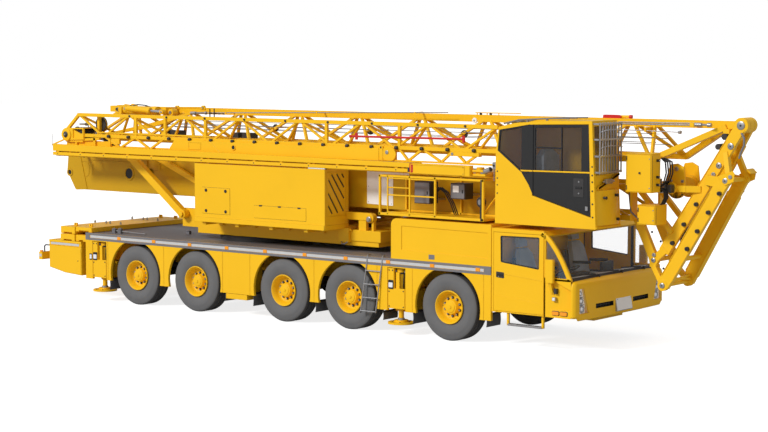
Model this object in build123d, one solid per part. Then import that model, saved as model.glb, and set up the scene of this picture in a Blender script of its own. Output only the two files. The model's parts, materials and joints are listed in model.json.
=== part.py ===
# Five-axle mobile tower crane in its road position: mast and jib folded over the carrier.
# Millimetres. +X is the driving direction, +Y the left side, +Z up.
# The origin is on the ground, below the middle of the crane's length and width.
import os
from math import atan2, degrees, hypot

from build123d import *

os.makedirs("parts", exist_ok=True)

# ---------------------------------------------------------------- driving dimensions
HALF_W = 1500  # half of the overall width
AXLES = (2830, 540, -1080, -3375, -5030)  # axle stations, front to rear
TYRE_R = 607
TYRE_W = 400
TYRE_OUT = 1464  # outer sidewall
TYRE_SIDES = 36
RIM_R = 292
RIM_SIDES = 24
HUB_R = 150
SPINDLE_R = 60
KINGPIN_Y = 1000
KINGPIN_R = 40
FORK_HALF = 212  # half height of the fork that holds the king pin
DRUM_R = 195
PIN_PLAY = 0.3  # radial clearance of a pin in its eye
ARCH_R = 715

RAIL_TOP = 1280  # top of the carrier's box frame
RAIL_LOW = 800
DECK_TOP = 1400
DECK_LOW = 1300
STRIP_LOW = 1256  # lower edge of the lit side strip
SKIRT_LOW = 450
SKIRT_IN = 1446
DECK_REAR = -6480
CAB_REAR = 3780
CAB_DOOR_FRONT = 4870
HOOD_REAR = 1560
HOOD_TOP = 2140
CAB_ROOF = 2095
CAB_FRONT = 5560
CAB_FLOOR = 620
WALL = 60

SUPPORTS = {"rear": -6070, "front": 1685}  # stations of the outrigger boxes
BOX_HALF = 185
BOX_LOW = 400
BOX_TOP = 790
BOX_END = 1190
JACK_Y = 1350
FOOT_R = 245  # radius of a jack's foot plate
TOW_R = 20  # pin hole of the towing coupling

SLEW_X = -2800  # slewing axis
RING_R = 920
RING_LOW = 1402
RING_SPLIT = 1500
PLATE_LOW = 1592
PLATE_TOP = 1860
HOUSE_X = (-3340, 0)  # power housings beside the mast
HOUSE_Y = (800, 1500)
HOUSE_Z = (1890, 2960)

LINK_FOOT = (-4150, 1880)  # erecting strut, platform pin and mast pin
LINK_HEAD = (-5620, 2980)
GUIDE_FOOT = (-2400, 1900)  # guide link, platform pin and mast pin
GUIDE_HEAD = (-5200, 3000)

MAST_Y = 660
MAST_Z = (2210, 2950)
MAST_REAR = -7800
MAST_FRONT = 3700
MAST_SKIN = 20
INNER_Y = 560
INNER_Z = (2270, 2890)
INNER_X = (-6900, 6000)

TIP_PIN = (7870, 3925)  # hinge of the jib on the mast head
TIP_R = 130
JIB_REAR = -7200
JIB_LOW = 3330
FOLD_PIN = (-7300, -540)  # upright hinge between the jib's two sections

CABIN_Y = (-1500, -700)  # operator's cabin


# ---------------------------------------------------------------- helpers
def block(x0, x1, y0, y1, z0, z1):
    """A box between two corners."""
    size = (abs(x1 - x0), abs(y1 - y0), abs(z1 - z0))
    return Pos((x0 + x1) / 2, (y0 + y1) / 2, (z0 + z1) / 2) * Box(*size)


def rod_y(x, z, radius, y0, y1):
    """A round bar along Y."""
    return Pos(x, (y0 + y1) / 2, z) * Rot(90, 0, 0) * Cylinder(radius, abs(y1 - y0))


def rod_z(x, y, radius, z0, z1):
    """A round bar along Z."""
    return Pos(x, y, (z0 + z1) / 2) * Cylinder(radius, abs(z1 - z0))


def rod_x(y, z, radius, x0, x1):
    """A round bar along X."""
    return Pos((x0 + x1) / 2, y, z) * Rot(0, 90, 0) * Cylinder(radius, abs(x1 - x0))


def plate(outline, y0, y1):
    """A plate in the XZ plane with the outline's (x, z) corners, from y0 to y1."""
    face = Face(Wire.make_polygon([Vector(x, y0, z) for x, z in outline], close=True))
    return extrude(face, amount=abs(y1 - y0), dir=(0, 1 if y1 > y0 else -1, 0))


def bar(start, end, width, height):
    """A square-section member between two points; width is across, height in its upright plane."""
    a, b = Vector(*start), Vector(*end)
    run = b - a
    side = Vector(0, 1, 0)
    if abs(run.normalized().Y) > 0.9:
        side = Vector(1, 0, 0)
    flat = side - run * (side.dot(run) / run.dot(run))
    place = Plane(origin=(a + b) / 2, x_dir=run, z_dir=run.cross(flat))
    return place * Box(run.length, width, height)


def mirrored(shapes):
    """The shapes and their images on the other side of the crane."""
    return [*shapes, *(mirror(s, about=Plane.XZ) for s in shapes)]


def fused(shapes):
    """One body from pieces that meet or overlap."""
    first, *rest = shapes
    return first.fuse(*rest) if rest else first


def save(name, shape):
    export_step(shape, f"parts/{name}.step")


def signed(side):
    """+1 on the left of the crane, -1 on the right."""
    return 1 if side == "left" else -1


def turned(rows, sides):
    """A many-sided form round the Y axis, from rows of (y, distance of the flats from the axis)."""
    pieces = []
    for (y0, r0), (y1, r1) in zip(rows, rows[1:]):
        ends = []
        for y, r in ((y0, r0), (y1, r1)):
            around = Plane(origin=(0, y, 0), x_dir=(0, 0, -1), z_dir=(0, 1, 0))
            ends.append(around * RegularPolygon(r, sides, major_radius=False, rotation=180 / sides))
        pieces.append(loft(ends, ruled=True))
    return fused(pieces)


# ---------------------------------------------------------------- wheels, knuckles and axles
def tyre_and_rim(x, way):
    """A tyre with its dished rim and hub. way is +1 on the left, -1 on the right."""
    half = TYRE_W / 2
    shoulder = TYRE_R - 62
    bead = RIM_R + 4
    tyre = turned([(-half, shoulder), (50 - half, TYRE_R), (half - 50, TYRE_R), (half, shoulder)], TYRE_SIDES)
    tyre -= turned([(-half - 1, 432), (45 - half, bead), (half - 45, bead), (half + 1, 432)], TYRE_SIDES)
    rim = turned([(-138, RIM_R), (166, RIM_R)], RIM_SIDES)
    rim -= turned([(70, 250), (167, 268)], RIM_SIDES)
    rim -= turned([(-139, 262), (48, 245)], RIM_SIDES)
    rim += rod_y(0, 0, HUB_R, 55, 160)
    rim -= rod_y(0, 0, SPINDLE_R + PIN_PLAY, 40, 110)
    pair = Pos(0, TYRE_OUT - half, 0) * Compound([tyre, rim])
    if way < 0:
        pair = mirror(pair, about=Plane.XZ)
    return Pos(x, 0, TYRE_R) * pair


def knuckle(x, way):
    """The steering knuckle: king pin, upright, brake drum, spindle and steering arm."""
    pin = rod_z(x, KINGPIN_Y, KINGPIN_R, TYRE_R - FORK_HALF + 5, TYRE_R + FORK_HALF - 5)
    upright = block(x - 60, x + 60, KINGPIN_Y - 40, KINGPIN_Y + 50, TYRE_R - 165, TYRE_R + 165)
    flange = Pos(x, 0, TYRE_R) * turned([(KINGPIN_Y + 45, 120), (1112, 150)], 12)
    drum = Pos(x, 0, TYRE_R) * turned([(1110, DRUM_R), (1290, DRUM_R)], 16)
    spindle = rod_y(x, TYRE_R, SPINDLE_R, 1285, TYRE_OUT - TYRE_W / 2 + 92)
    arm = block(x - 250, x - 60, KINGPIN_Y - 30, KINGPIN_Y + 30, TYRE_R - 105, TYRE_R - 65)
    body = fused([pin, upright, flange, drum, spindle, arm])
    return body if way > 0 else mirror(body, about=Plane.XZ)


def axle(x):
    """A driven axle: tube, differential, spring seats and the two forks that hold the king pins."""
    tube = Pos(x, 0, TYRE_R) * turned([(-880, 80), (880, 80)], 12)
    drive = Pos(x, 0, TYRE_R) * turned([(-260, 90), (-90, 185), (90, 185), (260, 90)], 16)
    pieces = [tube, drive]
    for way in (-1, 1):
        pieces.append(block(x - 60, x + 60, way * 850, way * 915, TYRE_R - FORK_HALF, TYRE_R + FORK_HALF))
        for low in (TYRE_R - FORK_HALF, TYRE_R + FORK_HALF - 40):
            eye = block(x - 60, x + 60, way * 880, way * (KINGPIN_Y + 60), low, low + 40)
            pieces.append(eye - rod_z(x, way * KINGPIN_Y, KINGPIN_R + PIN_PLAY, low - 5, low + 45))
        pieces.append(block(x - 70, x + 70, way * 300, way * 410, TYRE_R + 40, RAIL_LOW))
    return fused(pieces)


for number, x in enumerate(AXLES, 1):
    for side in ("left", "right"):
        save(f"wheel_{number}_{side}", tyre_and_rim(x, signed(side)))
        save(f"knuckle_{number}_{side}", knuckle(x, signed(side)))
save("axle_beams", Compound([axle(x) for x in AXLES]))

# ---------------------------------------------------------------- carrier frame and deck
main_beam = block(-6495, HOOD_REAR, -420, 420, RAIL_LOW, RAIL_TOP)
tail_beam = block(-6618, -6490, -420, 420, RAIL_LOW, 1190)
front_rails = mirrored([block(HOOD_REAR - 10, CAB_REAR - 10, 400, 480, RAIL_LOW, RAIL_TOP - 160)])
nose_beam = block(3500, 5250, -480, 480, 470, CAB_FLOOR - 15)
nose_drop = mirrored([block(3560, 3760, 400, 480, 470, RAIL_LOW + 60)])
turret_base = rod_z(SLEW_X, 0, RING_R - 40, RAIL_LOW + 100, DECK_LOW - 2)
support_boxes = []
for x in SUPPORTS.values():
    shell = block(x - BOX_HALF, x + BOX_HALF, -BOX_END, BOX_END, BOX_LOW, BOX_TOP + 15)
    room = block(x - BOX_HALF + 15, x + BOX_HALF - 15, -1400, 1400, BOX_LOW + 15, BOX_TOP)
    support_boxes.append(shell - room)
cross = [block(x - 60, x + 60, -1430, 1430, 1180, DECK_LOW - 2) for x in (-6400, -4200, -2230, -270, 1300)]
frame_pieces = [main_beam, tail_beam, *front_rails, nose_beam, *nose_drop, turret_base, *support_boxes, *cross]
save("chassis_frame", fused(frame_pieces))

deck = block(DECK_REAR, HOOD_REAR + 2200, -1440, 1440, DECK_LOW, DECK_TOP)
deck -= block(HOOD_REAR + 150, CAB_REAR - 100, -500, 500, DECK_LOW - 10, DECK_TOP + 10)
# trestle that the folded mast lies on: two legs, a saddle beam and its pads
trestle = [block(1180, 1330, -640, 640, 2070, 2150)]
for way in (-1, 1):
    trestle.append(block(1190, 1320, way * 500, way * 630, DECK_TOP - 10, 2090))
    trestle.append(plate([(1000, DECK_TOP - 5), (1200, DECK_TOP - 5), (1200, 1800)], way * 540, way * 590))
    trestle.append(block(1200, 1310, way * 470, way * 620, 2140, 2175))
# grey posts and the tie rod behind the slewing ring
for x, y, height in ((-5950, -1180, 75), (-5780, -1180, 85), (-4560, -420, 60)):
    trestle.append(block(x - 45, x + 45, y - 35, y + 35, DECK_TOP - 5, DECK_TOP + height))
save("deck", fused([deck, *trestle]))


PANEL_JOINTS = (-5820, -4215, -2610, -1890, -270, 1240, 2050, 3620)  # seams of the side panels


def skirt(way):
    """The side panels with their wheel arches, outrigger gaps and lit strip."""
    panel = block(DECK_REAR, CAB_REAR - 5, SKIRT_IN, HALF_W, SKIRT_LOW, STRIP_LOW)
    strip = block(DECK_REAR, CAB_REAR - 5, SKIRT_IN, HALF_W + 0, STRIP_LOW, DECK_TOP)
    for x in AXLES:
        panel -= rod_y(x, TYRE_R, ARCH_R, SKIRT_IN - 20, HALF_W + 20)
    for x in SUPPORTS.values():
        panel -= block(x - 205, x + 205, SKIRT_IN - 20, HALF_W + 20, 0, STRIP_LOW - 20)
    for x in PANEL_JOINTS:
        panel -= block(x - 4, x + 4, HALF_W - 5, HALF_W + 5, SKIRT_LOW - 10, STRIP_LOW - 8)
    body = panel + strip
    # channel that holds the light strip
    body -= block(DECK_REAR + 130, CAB_REAR - 160, HALF_W - 6, HALF_W + 5, STRIP_LOW + 45, DECK_TOP - 40)
    return body if way > 0 else mirror(body, about=Plane.XZ)


save("side_skirts", Compound([skirt(1), skirt(-1)]))

toolbox = block(-2520, -1970, 1050, SKIRT_IN - 4, 345, 1175)
toolbox += block(-2520, -1970, 1050, HALF_W, 345, SKIRT_LOW - 5)
save("toolboxes", Compound(mirrored([toolbox])))

# rear storage body, ballast plates on it and the lamp bar behind
REAR_SIDE = [(-7600, 1195), (-7600, 610), (-7120, 520), (-6620, 490), (-6620, 1195)]
rear_body = plate(REAR_SIDE, -HALF_W, HALF_W)
rear_body -= block(-7540, -6700, -HALF_W - 5, -HALF_W + 6, 1090, 1150)
rear_body -= block(-7540, -6700, HALF_W - 6, HALF_W + 5, 1090, 1150)
# low corner and high corner of the ballast slabs (x0, x1, half width, z0, z1)
SLABS = [
    (-7240, -6815, 1500, 1200, 1340),
    (-6805, -6500, 1470, 1200, 1335),
    (-7240, -6815, 1490, 1350, 1495),
    (-6805, -6330, 1470, 1405, 1500),
]
slabs = []
for x0, x1, half, z0, z1 in SLABS:
    slab = block(x0, x1, -half, half, z0, z1)
    for way in (-1, 1):
        slab -= block(x0 + 90, x1 - 90, way * (half - 70), way * (half + 5), z0 - 5, z0 + 28)
        slab += rod_z((x0 + x1) / 2, way * (half - 220), 42, z1 - 5, z1 + 4)
    slabs.append(slab)
save("ballast_plates", Compound(slabs))
lamp_bar = [block(-8000, -7875, -1450, 1450, 740, 900)]
lamp_bar += [block(-7880, -7590, y - 60, y + 60, 760, 880) for y in (-1000, -330, 330, 1000)]
# jaw of the towing coupling with its upright pin hole
coupling = block(-7730, -7590, -110, 110, 560, 730) - block(-7740, -7610, -120, 120, 620, 670)
rear = fused([rear_body, *lamp_bar, coupling]) - rod_z(-7680, 0, TOW_R, 550, 740)
save("rear_body", rear)

# ---------------------------------------------------------------- driver's cab
# side view corners of the cab, (x, z)
CAB_SIDE = [
    (CAB_REAR, CAB_FLOOR),
    (CAB_FRONT - 30, CAB_FLOOR),
    (CAB_FRONT, 1200),
    (5490, 1262),
    (5414, 1285),
    (5258, 1607),
    (5030, 1930),
    (4850, CAB_ROOF - 8),
    (CAB_REAR, CAB_ROOF),
]


def cab_block(inset):
    """The cab's outer form, drawn in by inset: side outline cut by a plan with a bowed front."""
    side = Face(Wire.make_polygon([Vector(x, 0, z) for x, z in CAB_SIDE], close=True))
    if inset:
        side = offset(side, -inset, kind=Kind.INTERSECTION)
    body = extrude(side, amount=HALF_W, dir=(0, 1, 0), both=True)
    corner = CAB_FRONT - 75
    bow = ThreePointArc((corner, -1430), (CAB_FRONT + 5, 0), (corner, 1430))
    flanks = Polyline(
        (corner, 1430), (corner - 60, HALF_W), (3000, HALF_W), (3000, -HALF_W), (corner - 60, -HALF_W),
        (corner, -1430),
    )
    plan = make_face(Curve() + [bow, flanks])
    if inset:
        plan = offset(plan, -inset)
    return body & (Pos(0, 0, 400) * extrude(plan, amount=2200))


cab_outer = cab_block(0)
cab_shell = cab_outer - cab_block(WALL)
SCREEN_Y = 1425  # half width of the windscreen's opening
WINDSCREEN = [(5100, 1300), (5900, 1300), (5900, 2030), (4800, 2030)]
screen_hole = plate(WINDSCREEN, -SCREEN_Y, SCREEN_Y)
cab_shell -= screen_hole
door_hole = block(CAB_REAR + 45, CAB_DOOR_FRONT, HALF_W - 200, HALF_W + 10, CAB_FLOOR + 20, CAB_ROOF - 70)
# quarter window and the set-back panel before the door, (x, z)
QUARTER = [(4925, 1915), (4925, 1385), (5325, 1330), (5185, 1590), (4975, 1890)]
SET_BACK = [(4985, 790), (5385, 790), (5385, 1110), (5090, 1250), (4985, 1270)]
for way in (-1, 1):
    cab_shell -= mirror(door_hole, about=Plane.XZ) if way < 0 else door_hole
    cab_shell -= plate(QUARTER, way * (HALF_W - 100), way * (HALF_W + 10))
    cab_shell -= plate(SET_BACK, way * (HALF_W - 25), way * (HALF_W + 10))
    # headlamp pocket and grille slot in the front face
    cab_shell -= block(CAB_FRONT - 190, CAB_FRONT + 20, way * 1080, way * 1240, 700, 1085)
    cab_shell -= block(CAB_FRONT - 90, CAB_FRONT + 20, way * 250, way * 900, 720, 800)
lamp_cup = cab_block(26) - cab_block(50)
for way in (-1, 1):
    cab_shell += lamp_cup & block(CAB_FRONT - 230, CAB_FRONT + 20, way * 1070, way * 1250, 690, 1095)
cab_shell += block(CAB_FRONT - 60, CAB_FRONT + 20, -230, 230, 640, 870)
save("cab_shell", cab_shell)
SCREEN = [(5110, 1306), (5890, 1306), (5890, 2024), (4810, 2024)]
screen = (cab_block(6) - cab_block(18)) & plate(SCREEN, 6 - SCREEN_Y, SCREEN_Y - 6)
save("cab_windscreen", screen)


def cab_door(way):
    """A cab door, as thick as the wall, with its window cut."""
    x0, x1 = CAB_REAR + 50, CAB_DOOR_FRONT - 5
    door = block(x0, x1, HALF_W - WALL, HALF_W, CAB_FLOOR + 26, CAB_ROOF - 76)
    window = plate([(x0 + 80, 1330), (x1 - 70, 1250), (x1 - 70, 1960), (x0 + 80, 1960)], HALF_W - 90, HALF_W + 20)
    body = door - window
    return body if way > 0 else mirror(body, about=Plane.XZ)


# mirrors on the cab's corners and steps below its doors
trim = []
for way in (-1, 1):
    mirror_head = fillet(block(4955, 5115, way * 1520, way * 1598, 1220, 1620).edges().filter_by(Axis.Z), 25)
    mirror_arm = bar((5040, way * 1560, 1240), (5050, way * 1502, 1055), 45, 45)
    mirror_foot = block(5015, 5085, way * 1475, way * 1500, 1020, 1090)
    trim.append(fused([mirror_head, mirror_arm, mirror_foot]))
    posts = [block(x - 20, x + 20, way * 1420, way * 1460, 405, CAB_FLOOR) for x in (4105, 4825)]
    trim.append(fused([*posts, block(4105, 4825, way * 1400, way * 1475, 405, 430)]))
save("carrier_trim", Compound(trim))

save("door_left", cab_door(1))
save("door_right", cab_door(-1))

seats = []
for y in (-850, 850):
    seats.append(fused([
        block(4150, 4620, y - 240, y + 240, CAB_FLOOR + WALL, 1150),
        block(4070, 4190, y - 240, y + 240, 1100, 1750),
    ]))
dash = plate([(5020, 1020), (5340, 1020), (5420, 1130), (5420, 1200), (5050, 1250)], -1400, 1400)
dash = fused([dash, block(5120, 5260, -1180, 1180, CAB_FLOOR + WALL, 1030)])
save("cab_interior", Compound([*seats, dash]))

# ---------------------------------------------------------------- engine hood behind the cab
hood = block(HOOD_REAR, CAB_REAR - 5, -HALF_W, HALF_W, DECK_TOP + 2, HOOD_TOP)
hood = fillet(hood.edges().filter_by(Axis.Y).group_by(Axis.Z)[-1].group_by(Axis.X)[0], 120)
hood -= block(HOOD_REAR + 50, CAB_REAR - 55, -HALF_W + 50, HALF_W - 50, DECK_TOP - 10, HOOD_TOP - 50)
for way in (-1, 1):
    inset = [(1800, 1580), (1800, 2010), (3700, 1990), (3700, 1540)]
    hood -= plate(inset, way * (HALF_W - 10), way * (HALF_W + 10))
save("engine_hood", hood)
save("engine_block", block(1900, 3250, -340, 340, 830, 1750))

# ---------------------------------------------------------------- outriggers and jacks
for place, x in SUPPORTS.items():
    for side in ("left", "right"):
        way = signed(side)
        cx = x + 85 * way
        beam = block(cx - 78, cx + 78, 20 - BOX_END, BOX_END + 10, BOX_LOW + 22, BOX_TOP - 8)
        tube = rod_z(x, JACK_Y, 80, 470, 1215)
        neck = block(x - 165, x + 165, BOX_END + 5, JACK_Y - 50, BOX_LOW + 22, BOX_TOP - 8)
        cover = block(x - 190, x - 60, 1450, HALF_W, 490, 1225) + block(x - 60, x + 190, 1450, HALF_W, 490, 860)
        post = block(x - 40, x + 40, JACK_Y, 1460, 620, 1150)
        arm = fused([beam, neck, tube, cover, post]) - rod_z(x, JACK_Y, 56, 400, 1190)
        jack = [rod_z(x, JACK_Y, 50, 240, 1100), rod_z(x, JACK_Y, 130, 235, 275), rod_z(x, JACK_Y, FOOT_R, 205, 240)]
        jack = fused(jack)
        if way < 0:
            arm = mirror(arm, about=Plane.XZ)
            jack = mirror(jack, about=Plane.XZ)
        save(f"outrigger_{place}_{side}", arm)
        save(f"jack_{place}_{side}", jack)

# ---------------------------------------------------------------- slewing ring and platform
lower_ring = rod_z(SLEW_X, 0, RING_R, RING_LOW, RING_SPLIT) - rod_z(SLEW_X, 0, RING_R - 150, 1390, 1510)
save("slewing_ring", lower_ring)

plat = [
    rod_z(SLEW_X, 0, RING_R - 20, RING_SPLIT + 6, PLATE_LOW + 20),
    block(-3500, -20, -900, 900, 1512, PLATE_TOP),
    block(-30, 850, -900, 900, PLATE_LOW, PLATE_TOP - 60),
    block(-30, 790, -880, 880, 1500, PLATE_LOW + 10),
]
for way in (-1, 1):
    plat.append(block(-4260, -3400, way * 800, way * 900, 1620, 1990))
    plat.append(block(-3830, -3400, way * 800, way * 900, 1512, 1700))
    plat.append(rod_y(*LINK_FOOT, 38, way * 850, way * 1060))
    plat.append(block(5, 620, way * 790, way * 880, 1990, 2130))
    # consoles under the power housing
    for x in (-3150, -2280, -1400, -520):
        plat.append(plate([(x - 45, 1700), (x + 45, 1700), (x + 45, 1760), (x - 45, 1760)], way * 890, way * 960))
        plat.append(block(x - 45, x + 45, way * 890, way * 1440, 1750, HOUSE_Z[0]))
    plat.append(rod_y(585, 2040, 90, way * 780, way * 900))
    plat.append(rod_y(585, 2020, 34, way * 870, way * 925))
    plat.append(block(300, 480, way * 800, way * 870, 1780, 2000))
    plat.append(block(610, 660, way * 800, way * 870, 1780, 1980))
    plat.append(block(-130, 130, way * 880, way * 960, 1560, 1830))
    plat.append(rod_x(way * 925, 1790, 22, -110, 170))
    plat.append(block(GUIDE_FOOT[0] - 110, GUIDE_FOOT[0] + 110, way * 780, way * 797, PLATE_TOP - 10, 2010))
    plat.append(rod_y(*GUIDE_FOOT, 30, way * 685, way * 790))
platform = fused(plat)
platform -= block(-2560, -1800, -777, 777, PLATE_TOP - 130, PLATE_TOP + 10)
save("slew_platform", platform)

def housing():
    """The left power housing: louvred front face, service panel and flap on its side."""
    body = block(*HOUSE_X, *HOUSE_Y, *HOUSE_Z)
    y0, y1 = HOUSE_Y
    # slanted louvre slots in the front face, from (y, z) to (y, z)
    slots = [
        ((y1 - 90, 2560), (y0 + 500, 2860)),
        ((y1 - 90, 2330), (y0 + 330, 2860)),
        ((y1 - 90, 2100), (y0 + 160, 2860)),
        ((y1 - 170, 1990), (y0 + 110, 2740)),
        ((y1 - 330, 1990), (y0 + 110, 2480)),
        ((y1 - 480, 1990), (y0 + 110, 2230)),
    ]
    for (ya, za), (yb, zb) in slots:
        body -= bar((-20, ya, za), (-20, yb, zb), 60, 26)
    body -= block(-2980, -2240, y1 - 6, y1 + 5, 2500, 2920) - block(-2974, -2246, y1 - 8, y1 + 6, 2506, 2914)
    body -= block(-1700, -380, y1 - 6, y1 + 5, 2180, 2420) - block(-1694, -386, y1 - 8, y1 + 6, 2186, 2414)
    return body


save("power_housings", Compound(mirrored([housing()])))


def strut(foot, head, y0, y1, depth, bore):
    """A pin-ended link in the XZ plane between two pins."""
    run = hypot(head[0] - foot[0], head[1] - foot[1])
    turn = degrees(atan2(head[1] - foot[1], head[0] - foot[0]))
    body = Box(run, abs(y1 - y0), depth)
    body += Pos(-run / 2, 0, 0) * Rot(90, 0, 0) * Cylinder(depth * 0.62, abs(y1 - y0))
    body += Pos(run / 2, 0, 0) * Rot(90, 0, 0) * Cylinder(depth * 0.62, abs(y1 - y0))
    for end in (-run / 2, run / 2):
        body -= Pos(end, 0, 0) * Rot(90, 0, 0) * Cylinder(bore, abs(y1 - y0) + 10)
    centre = Pos((foot[0] + head[0]) / 2, (y0 + y1) / 2, (foot[1] + head[1]) / 2)
    return centre * Rot(0, -turn, 0) * body


struts = mirrored([strut(LINK_FOOT, LINK_HEAD, 920, 1050, 150, 38.3)])
save("erecting_struts", Compound(struts))
save("guide_links", Compound(mirrored([strut(GUIDE_FOOT, GUIDE_HEAD, 690, 770, 110, 30.3)])))

# ---------------------------------------------------------------- mast, outer section
MAST_SIDE = [
    (MAST_REAR + 370, MAST_Z[0]),
    (MAST_FRONT, MAST_Z[0]),
    (MAST_FRONT, MAST_Z[1]),
    (MAST_REAR + 180, MAST_Z[1]),
    (MAST_REAR, 2590),
]
mast = plate(MAST_SIDE, -MAST_Y, MAST_Y)
mast -= block(
    MAST_REAR - 100, MAST_FRONT + 10, -MAST_Y + MAST_SKIN, MAST_Y - MAST_SKIN, MAST_Z[0] + MAST_SKIN,
    MAST_Z[1] - MAST_SKIN,
)
mast -= rod_y(-5400, 2630, 100, -MAST_Y - 20, MAST_Y + 20)
lugs = []
for way in (-1, 1):
    lugs.append(block(-5760, -5480, way * MAST_Y, way * 680, 2700, 3060))
    lugs.append(rod_y(*LINK_HEAD, 38, way * 650, way * 1060))
    lugs.append(rod_y(*GUIDE_HEAD, 30, way * 650, way * 685))
    lugs.append(block(-5290, -5110, way * 640, way * 680, 2700, 3080))
mast = fused([mast, *lugs])
save("mast_outer", mast)

# cabin guide rail on the right of the mast, with its arms
rail = [
    block(-7440, 1950, -1500, -1400, 2985, 3050),
    block(-7440, 1950, -1500, -1400, 3075, 3140),
    block(1950, 1990, -1500, -1395, 2975, 3150),
    block(1990, 3315, -1500, -1400, 2970, 3150),
]
for x in (-7300, -6950, -3000, -300, 1800, 3200):
    rail.append(block(x - 40, x + 40, -1440, -560, 2966, 3000))
    rail.append(block(x - 40, x + 40, -MAST_Y + 5, -560, MAST_Z[1], 2980))
    rail.append(block(x - 30, x + 30, -1470, -1410, 2966, 3120))
save("cabin_rail", fused(rail))

# walkway cage with its two cabinets
cage = [block(1260, 3610, -1490, -700, 2182, 2200)]
for x in (1280, 2060, 2850, 3590):
    cage.append(block(x - 20, x + 20, -1490, -1450, 2190, 2920))
for z in (2560, 2900):
    cage.append(block(1260, 3610, -1490, -1450, z - 20, z + 20))
cage.append(block(1700, 2200, -1150, -760, 2195, 2850))
cage.append(block(2600, 3000, -1150, -760, 2195, 2800))
cage.append(block(1300, 3500, -760, -MAST_Y - 1, 2182, 2240))
save("walkway_cage", fused(cage))

# ---------------------------------------------------------------- mast, inner section
chords = []
for y in (-INNER_Y + 45, INNER_Y - 45):
    for z in (INNER_Z[0] + 45, INNER_Z[1] - 45):
        chords.append(block(*INNER_X, y - 45, y + 45, z - 45, z + 45))
bays = 12
step = (INNER_X[1] - INNER_X[0]) / bays
webs = []
for i in range(bays):
    a = INNER_X[0] + i * step + 30
    b = a + step - 60
    up = i % 2 == 0
    for y in (-INNER_Y + 45, INNER_Y - 45):
        z0, z1 = (INNER_Z[0] + 45, INNER_Z[1] - 45) if up else (INNER_Z[1] - 45, INNER_Z[0] + 45)
        webs.append(bar((a, y, z0), (b, y, z1), 50, 50))
    for z in (INNER_Z[0] + 45, INNER_Z[1] - 45):
        webs.append(block(a - 25, a + 25, -INNER_Y + 50, INNER_Y - 50, z - 25, z + 25))
save("mast_inner", fused([*chords, *webs]))

# mast head: the frame that hangs in front of the cab and carries the jib's hinge
PLANE_Y = 325
HEAD_FOOT = (6595, 1190)  # lowest pin of the head
HEAD_KNEE = (6360, 1600)
WINCH = (6700, 2850)
WINCH_R = 150
TIP_Y = 125  # the side frames lean in towards the jib's hinge and spread at the foot
FOOT_Y = 430
# start (x, z, y), end (x, z, y), depth
MEMBERS = [
    ((*TIP_PIN, TIP_Y), (6550, 1750, PLANE_Y), 200),
    ((7650, 2990, PLANE_Y), (*HEAD_FOOT, FOOT_Y), 220),
    ((7330, 3010, PLANE_Y), (7720, 2960, PLANE_Y), 170),
    ((7610, 3470, 180), (7740, 3040, 300), 90),
    ((6010, 2330, PLANE_Y), (*HEAD_KNEE, PLANE_Y), 150),
    ((*HEAD_KNEE, PLANE_Y), (6580, 1800, PLANE_Y), 130),
    ((6350, 1640, PLANE_Y), (6350, 1480, PLANE_Y), 130),
    ((6350, 1500, PLANE_Y), (*HEAD_FOOT, FOOT_Y), 90),
    ((6010, 2840, PLANE_Y), (6960, 2840, PLANE_Y), 110),
    ((6940, 2840, PLANE_Y), (7190, 2840, 245), 110),
    ((6010, 2830, PLANE_Y), (6700, 2080, PLANE_Y), 80),
]
# round bosses: x, z, y, radius
BOSSES = [
    (*TIP_PIN, TIP_Y, TIP_R),
    (*HEAD_FOOT, FOOT_Y, 95),
    (*HEAD_KNEE, PLANE_Y, 85),
    (7700, 3010, PLANE_Y, 90),
]
head = []
for way in (-1, 1):
    for (x0, z0, y0), (x1, z1, y1), depth in MEMBERS:
        head.append(bar((x0, way * y0, z0), (x1, way * y1, z1), 90, depth))
    for x, z, y, radius in BOSSES:
        head.append(rod_y(x, z, radius, way * (y - 45), way * (y + 45)))
    # lug plates above the winch
    lug = [(6480, 2880), (6900, 2880), (6860, 3200), (6740, 3260), (6600, 3240)]
    head.append(plate(lug, way * 235, way * 260))
    head.append(block(6480, 6900, way * 235, way * (PLANE_Y + 20), 2860, 2890))
# cross members between the two side frames: x, z, half length
RODS = [
    (*HEAD_FOOT, FOOT_Y),
    (*HEAD_KNEE, PLANE_Y),
    (7700, 3010, PLANE_Y),
    (6860, 1640, 405),
    (7080, 2840, 260),
]
for x, z, half in RODS:
    head.append(rod_y(x, z, 40, -half, half))
for x, z, half in ((6870, 2280, 290), (7225, 2860, 250)):
    head.append(block(x - 40, x + 40, -half, half, z - 40, z + 40))
# crossed stays at the foot
head.append(bar((6660, -400, 1230), (6660, 400, 1310), 30, 40))
head.append(bar((6660, -400, 1310), (6660, 400, 1230), 30, 40))
flange = block(6000, 6040, -INNER_Y, INNER_Y, *INNER_Z) - block(5990, 6050, -380, 380, 2380, 2780)
head.append(flange)
# control boxes on the right with their brackets
head.append(block(6150, 6640, -960, -665, 2790, 3440))
head.append(block(6300, 6640, -820, -430, 2240, 2570))
head.append(block(6400, 6480, -700, -PLANE_Y, 2800, 2880))
head.append(block(6400, 6480, -450, -PLANE_Y, 2290, 2370))
head.append(rod_y(*TIP_PIN, 45, -TIP_Y - 60, TIP_Y + 60))
save("mast_head", fused(head) - rod_y(*WINCH, 62, -PLANE_Y - 60, PLANE_Y + 60))

winch = fused([
    rod_y(*WINCH, WINCH_R, -225, 225),
    rod_y(*WINCH, WINCH_R + 40, -225, -200),
    rod_y(*WINCH, WINCH_R + 40, 200, 225),
    rod_y(*WINCH, 62, -PLANE_Y - 50, PLANE_Y + 50),
    rod_y(*WINCH, 110, PLANE_Y + 46, PLANE_Y + 150),
    rod_y(*WINCH, 100, -PLANE_Y - 100, -PLANE_Y - 46),
])
save("hoist_winch", winch)

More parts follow.
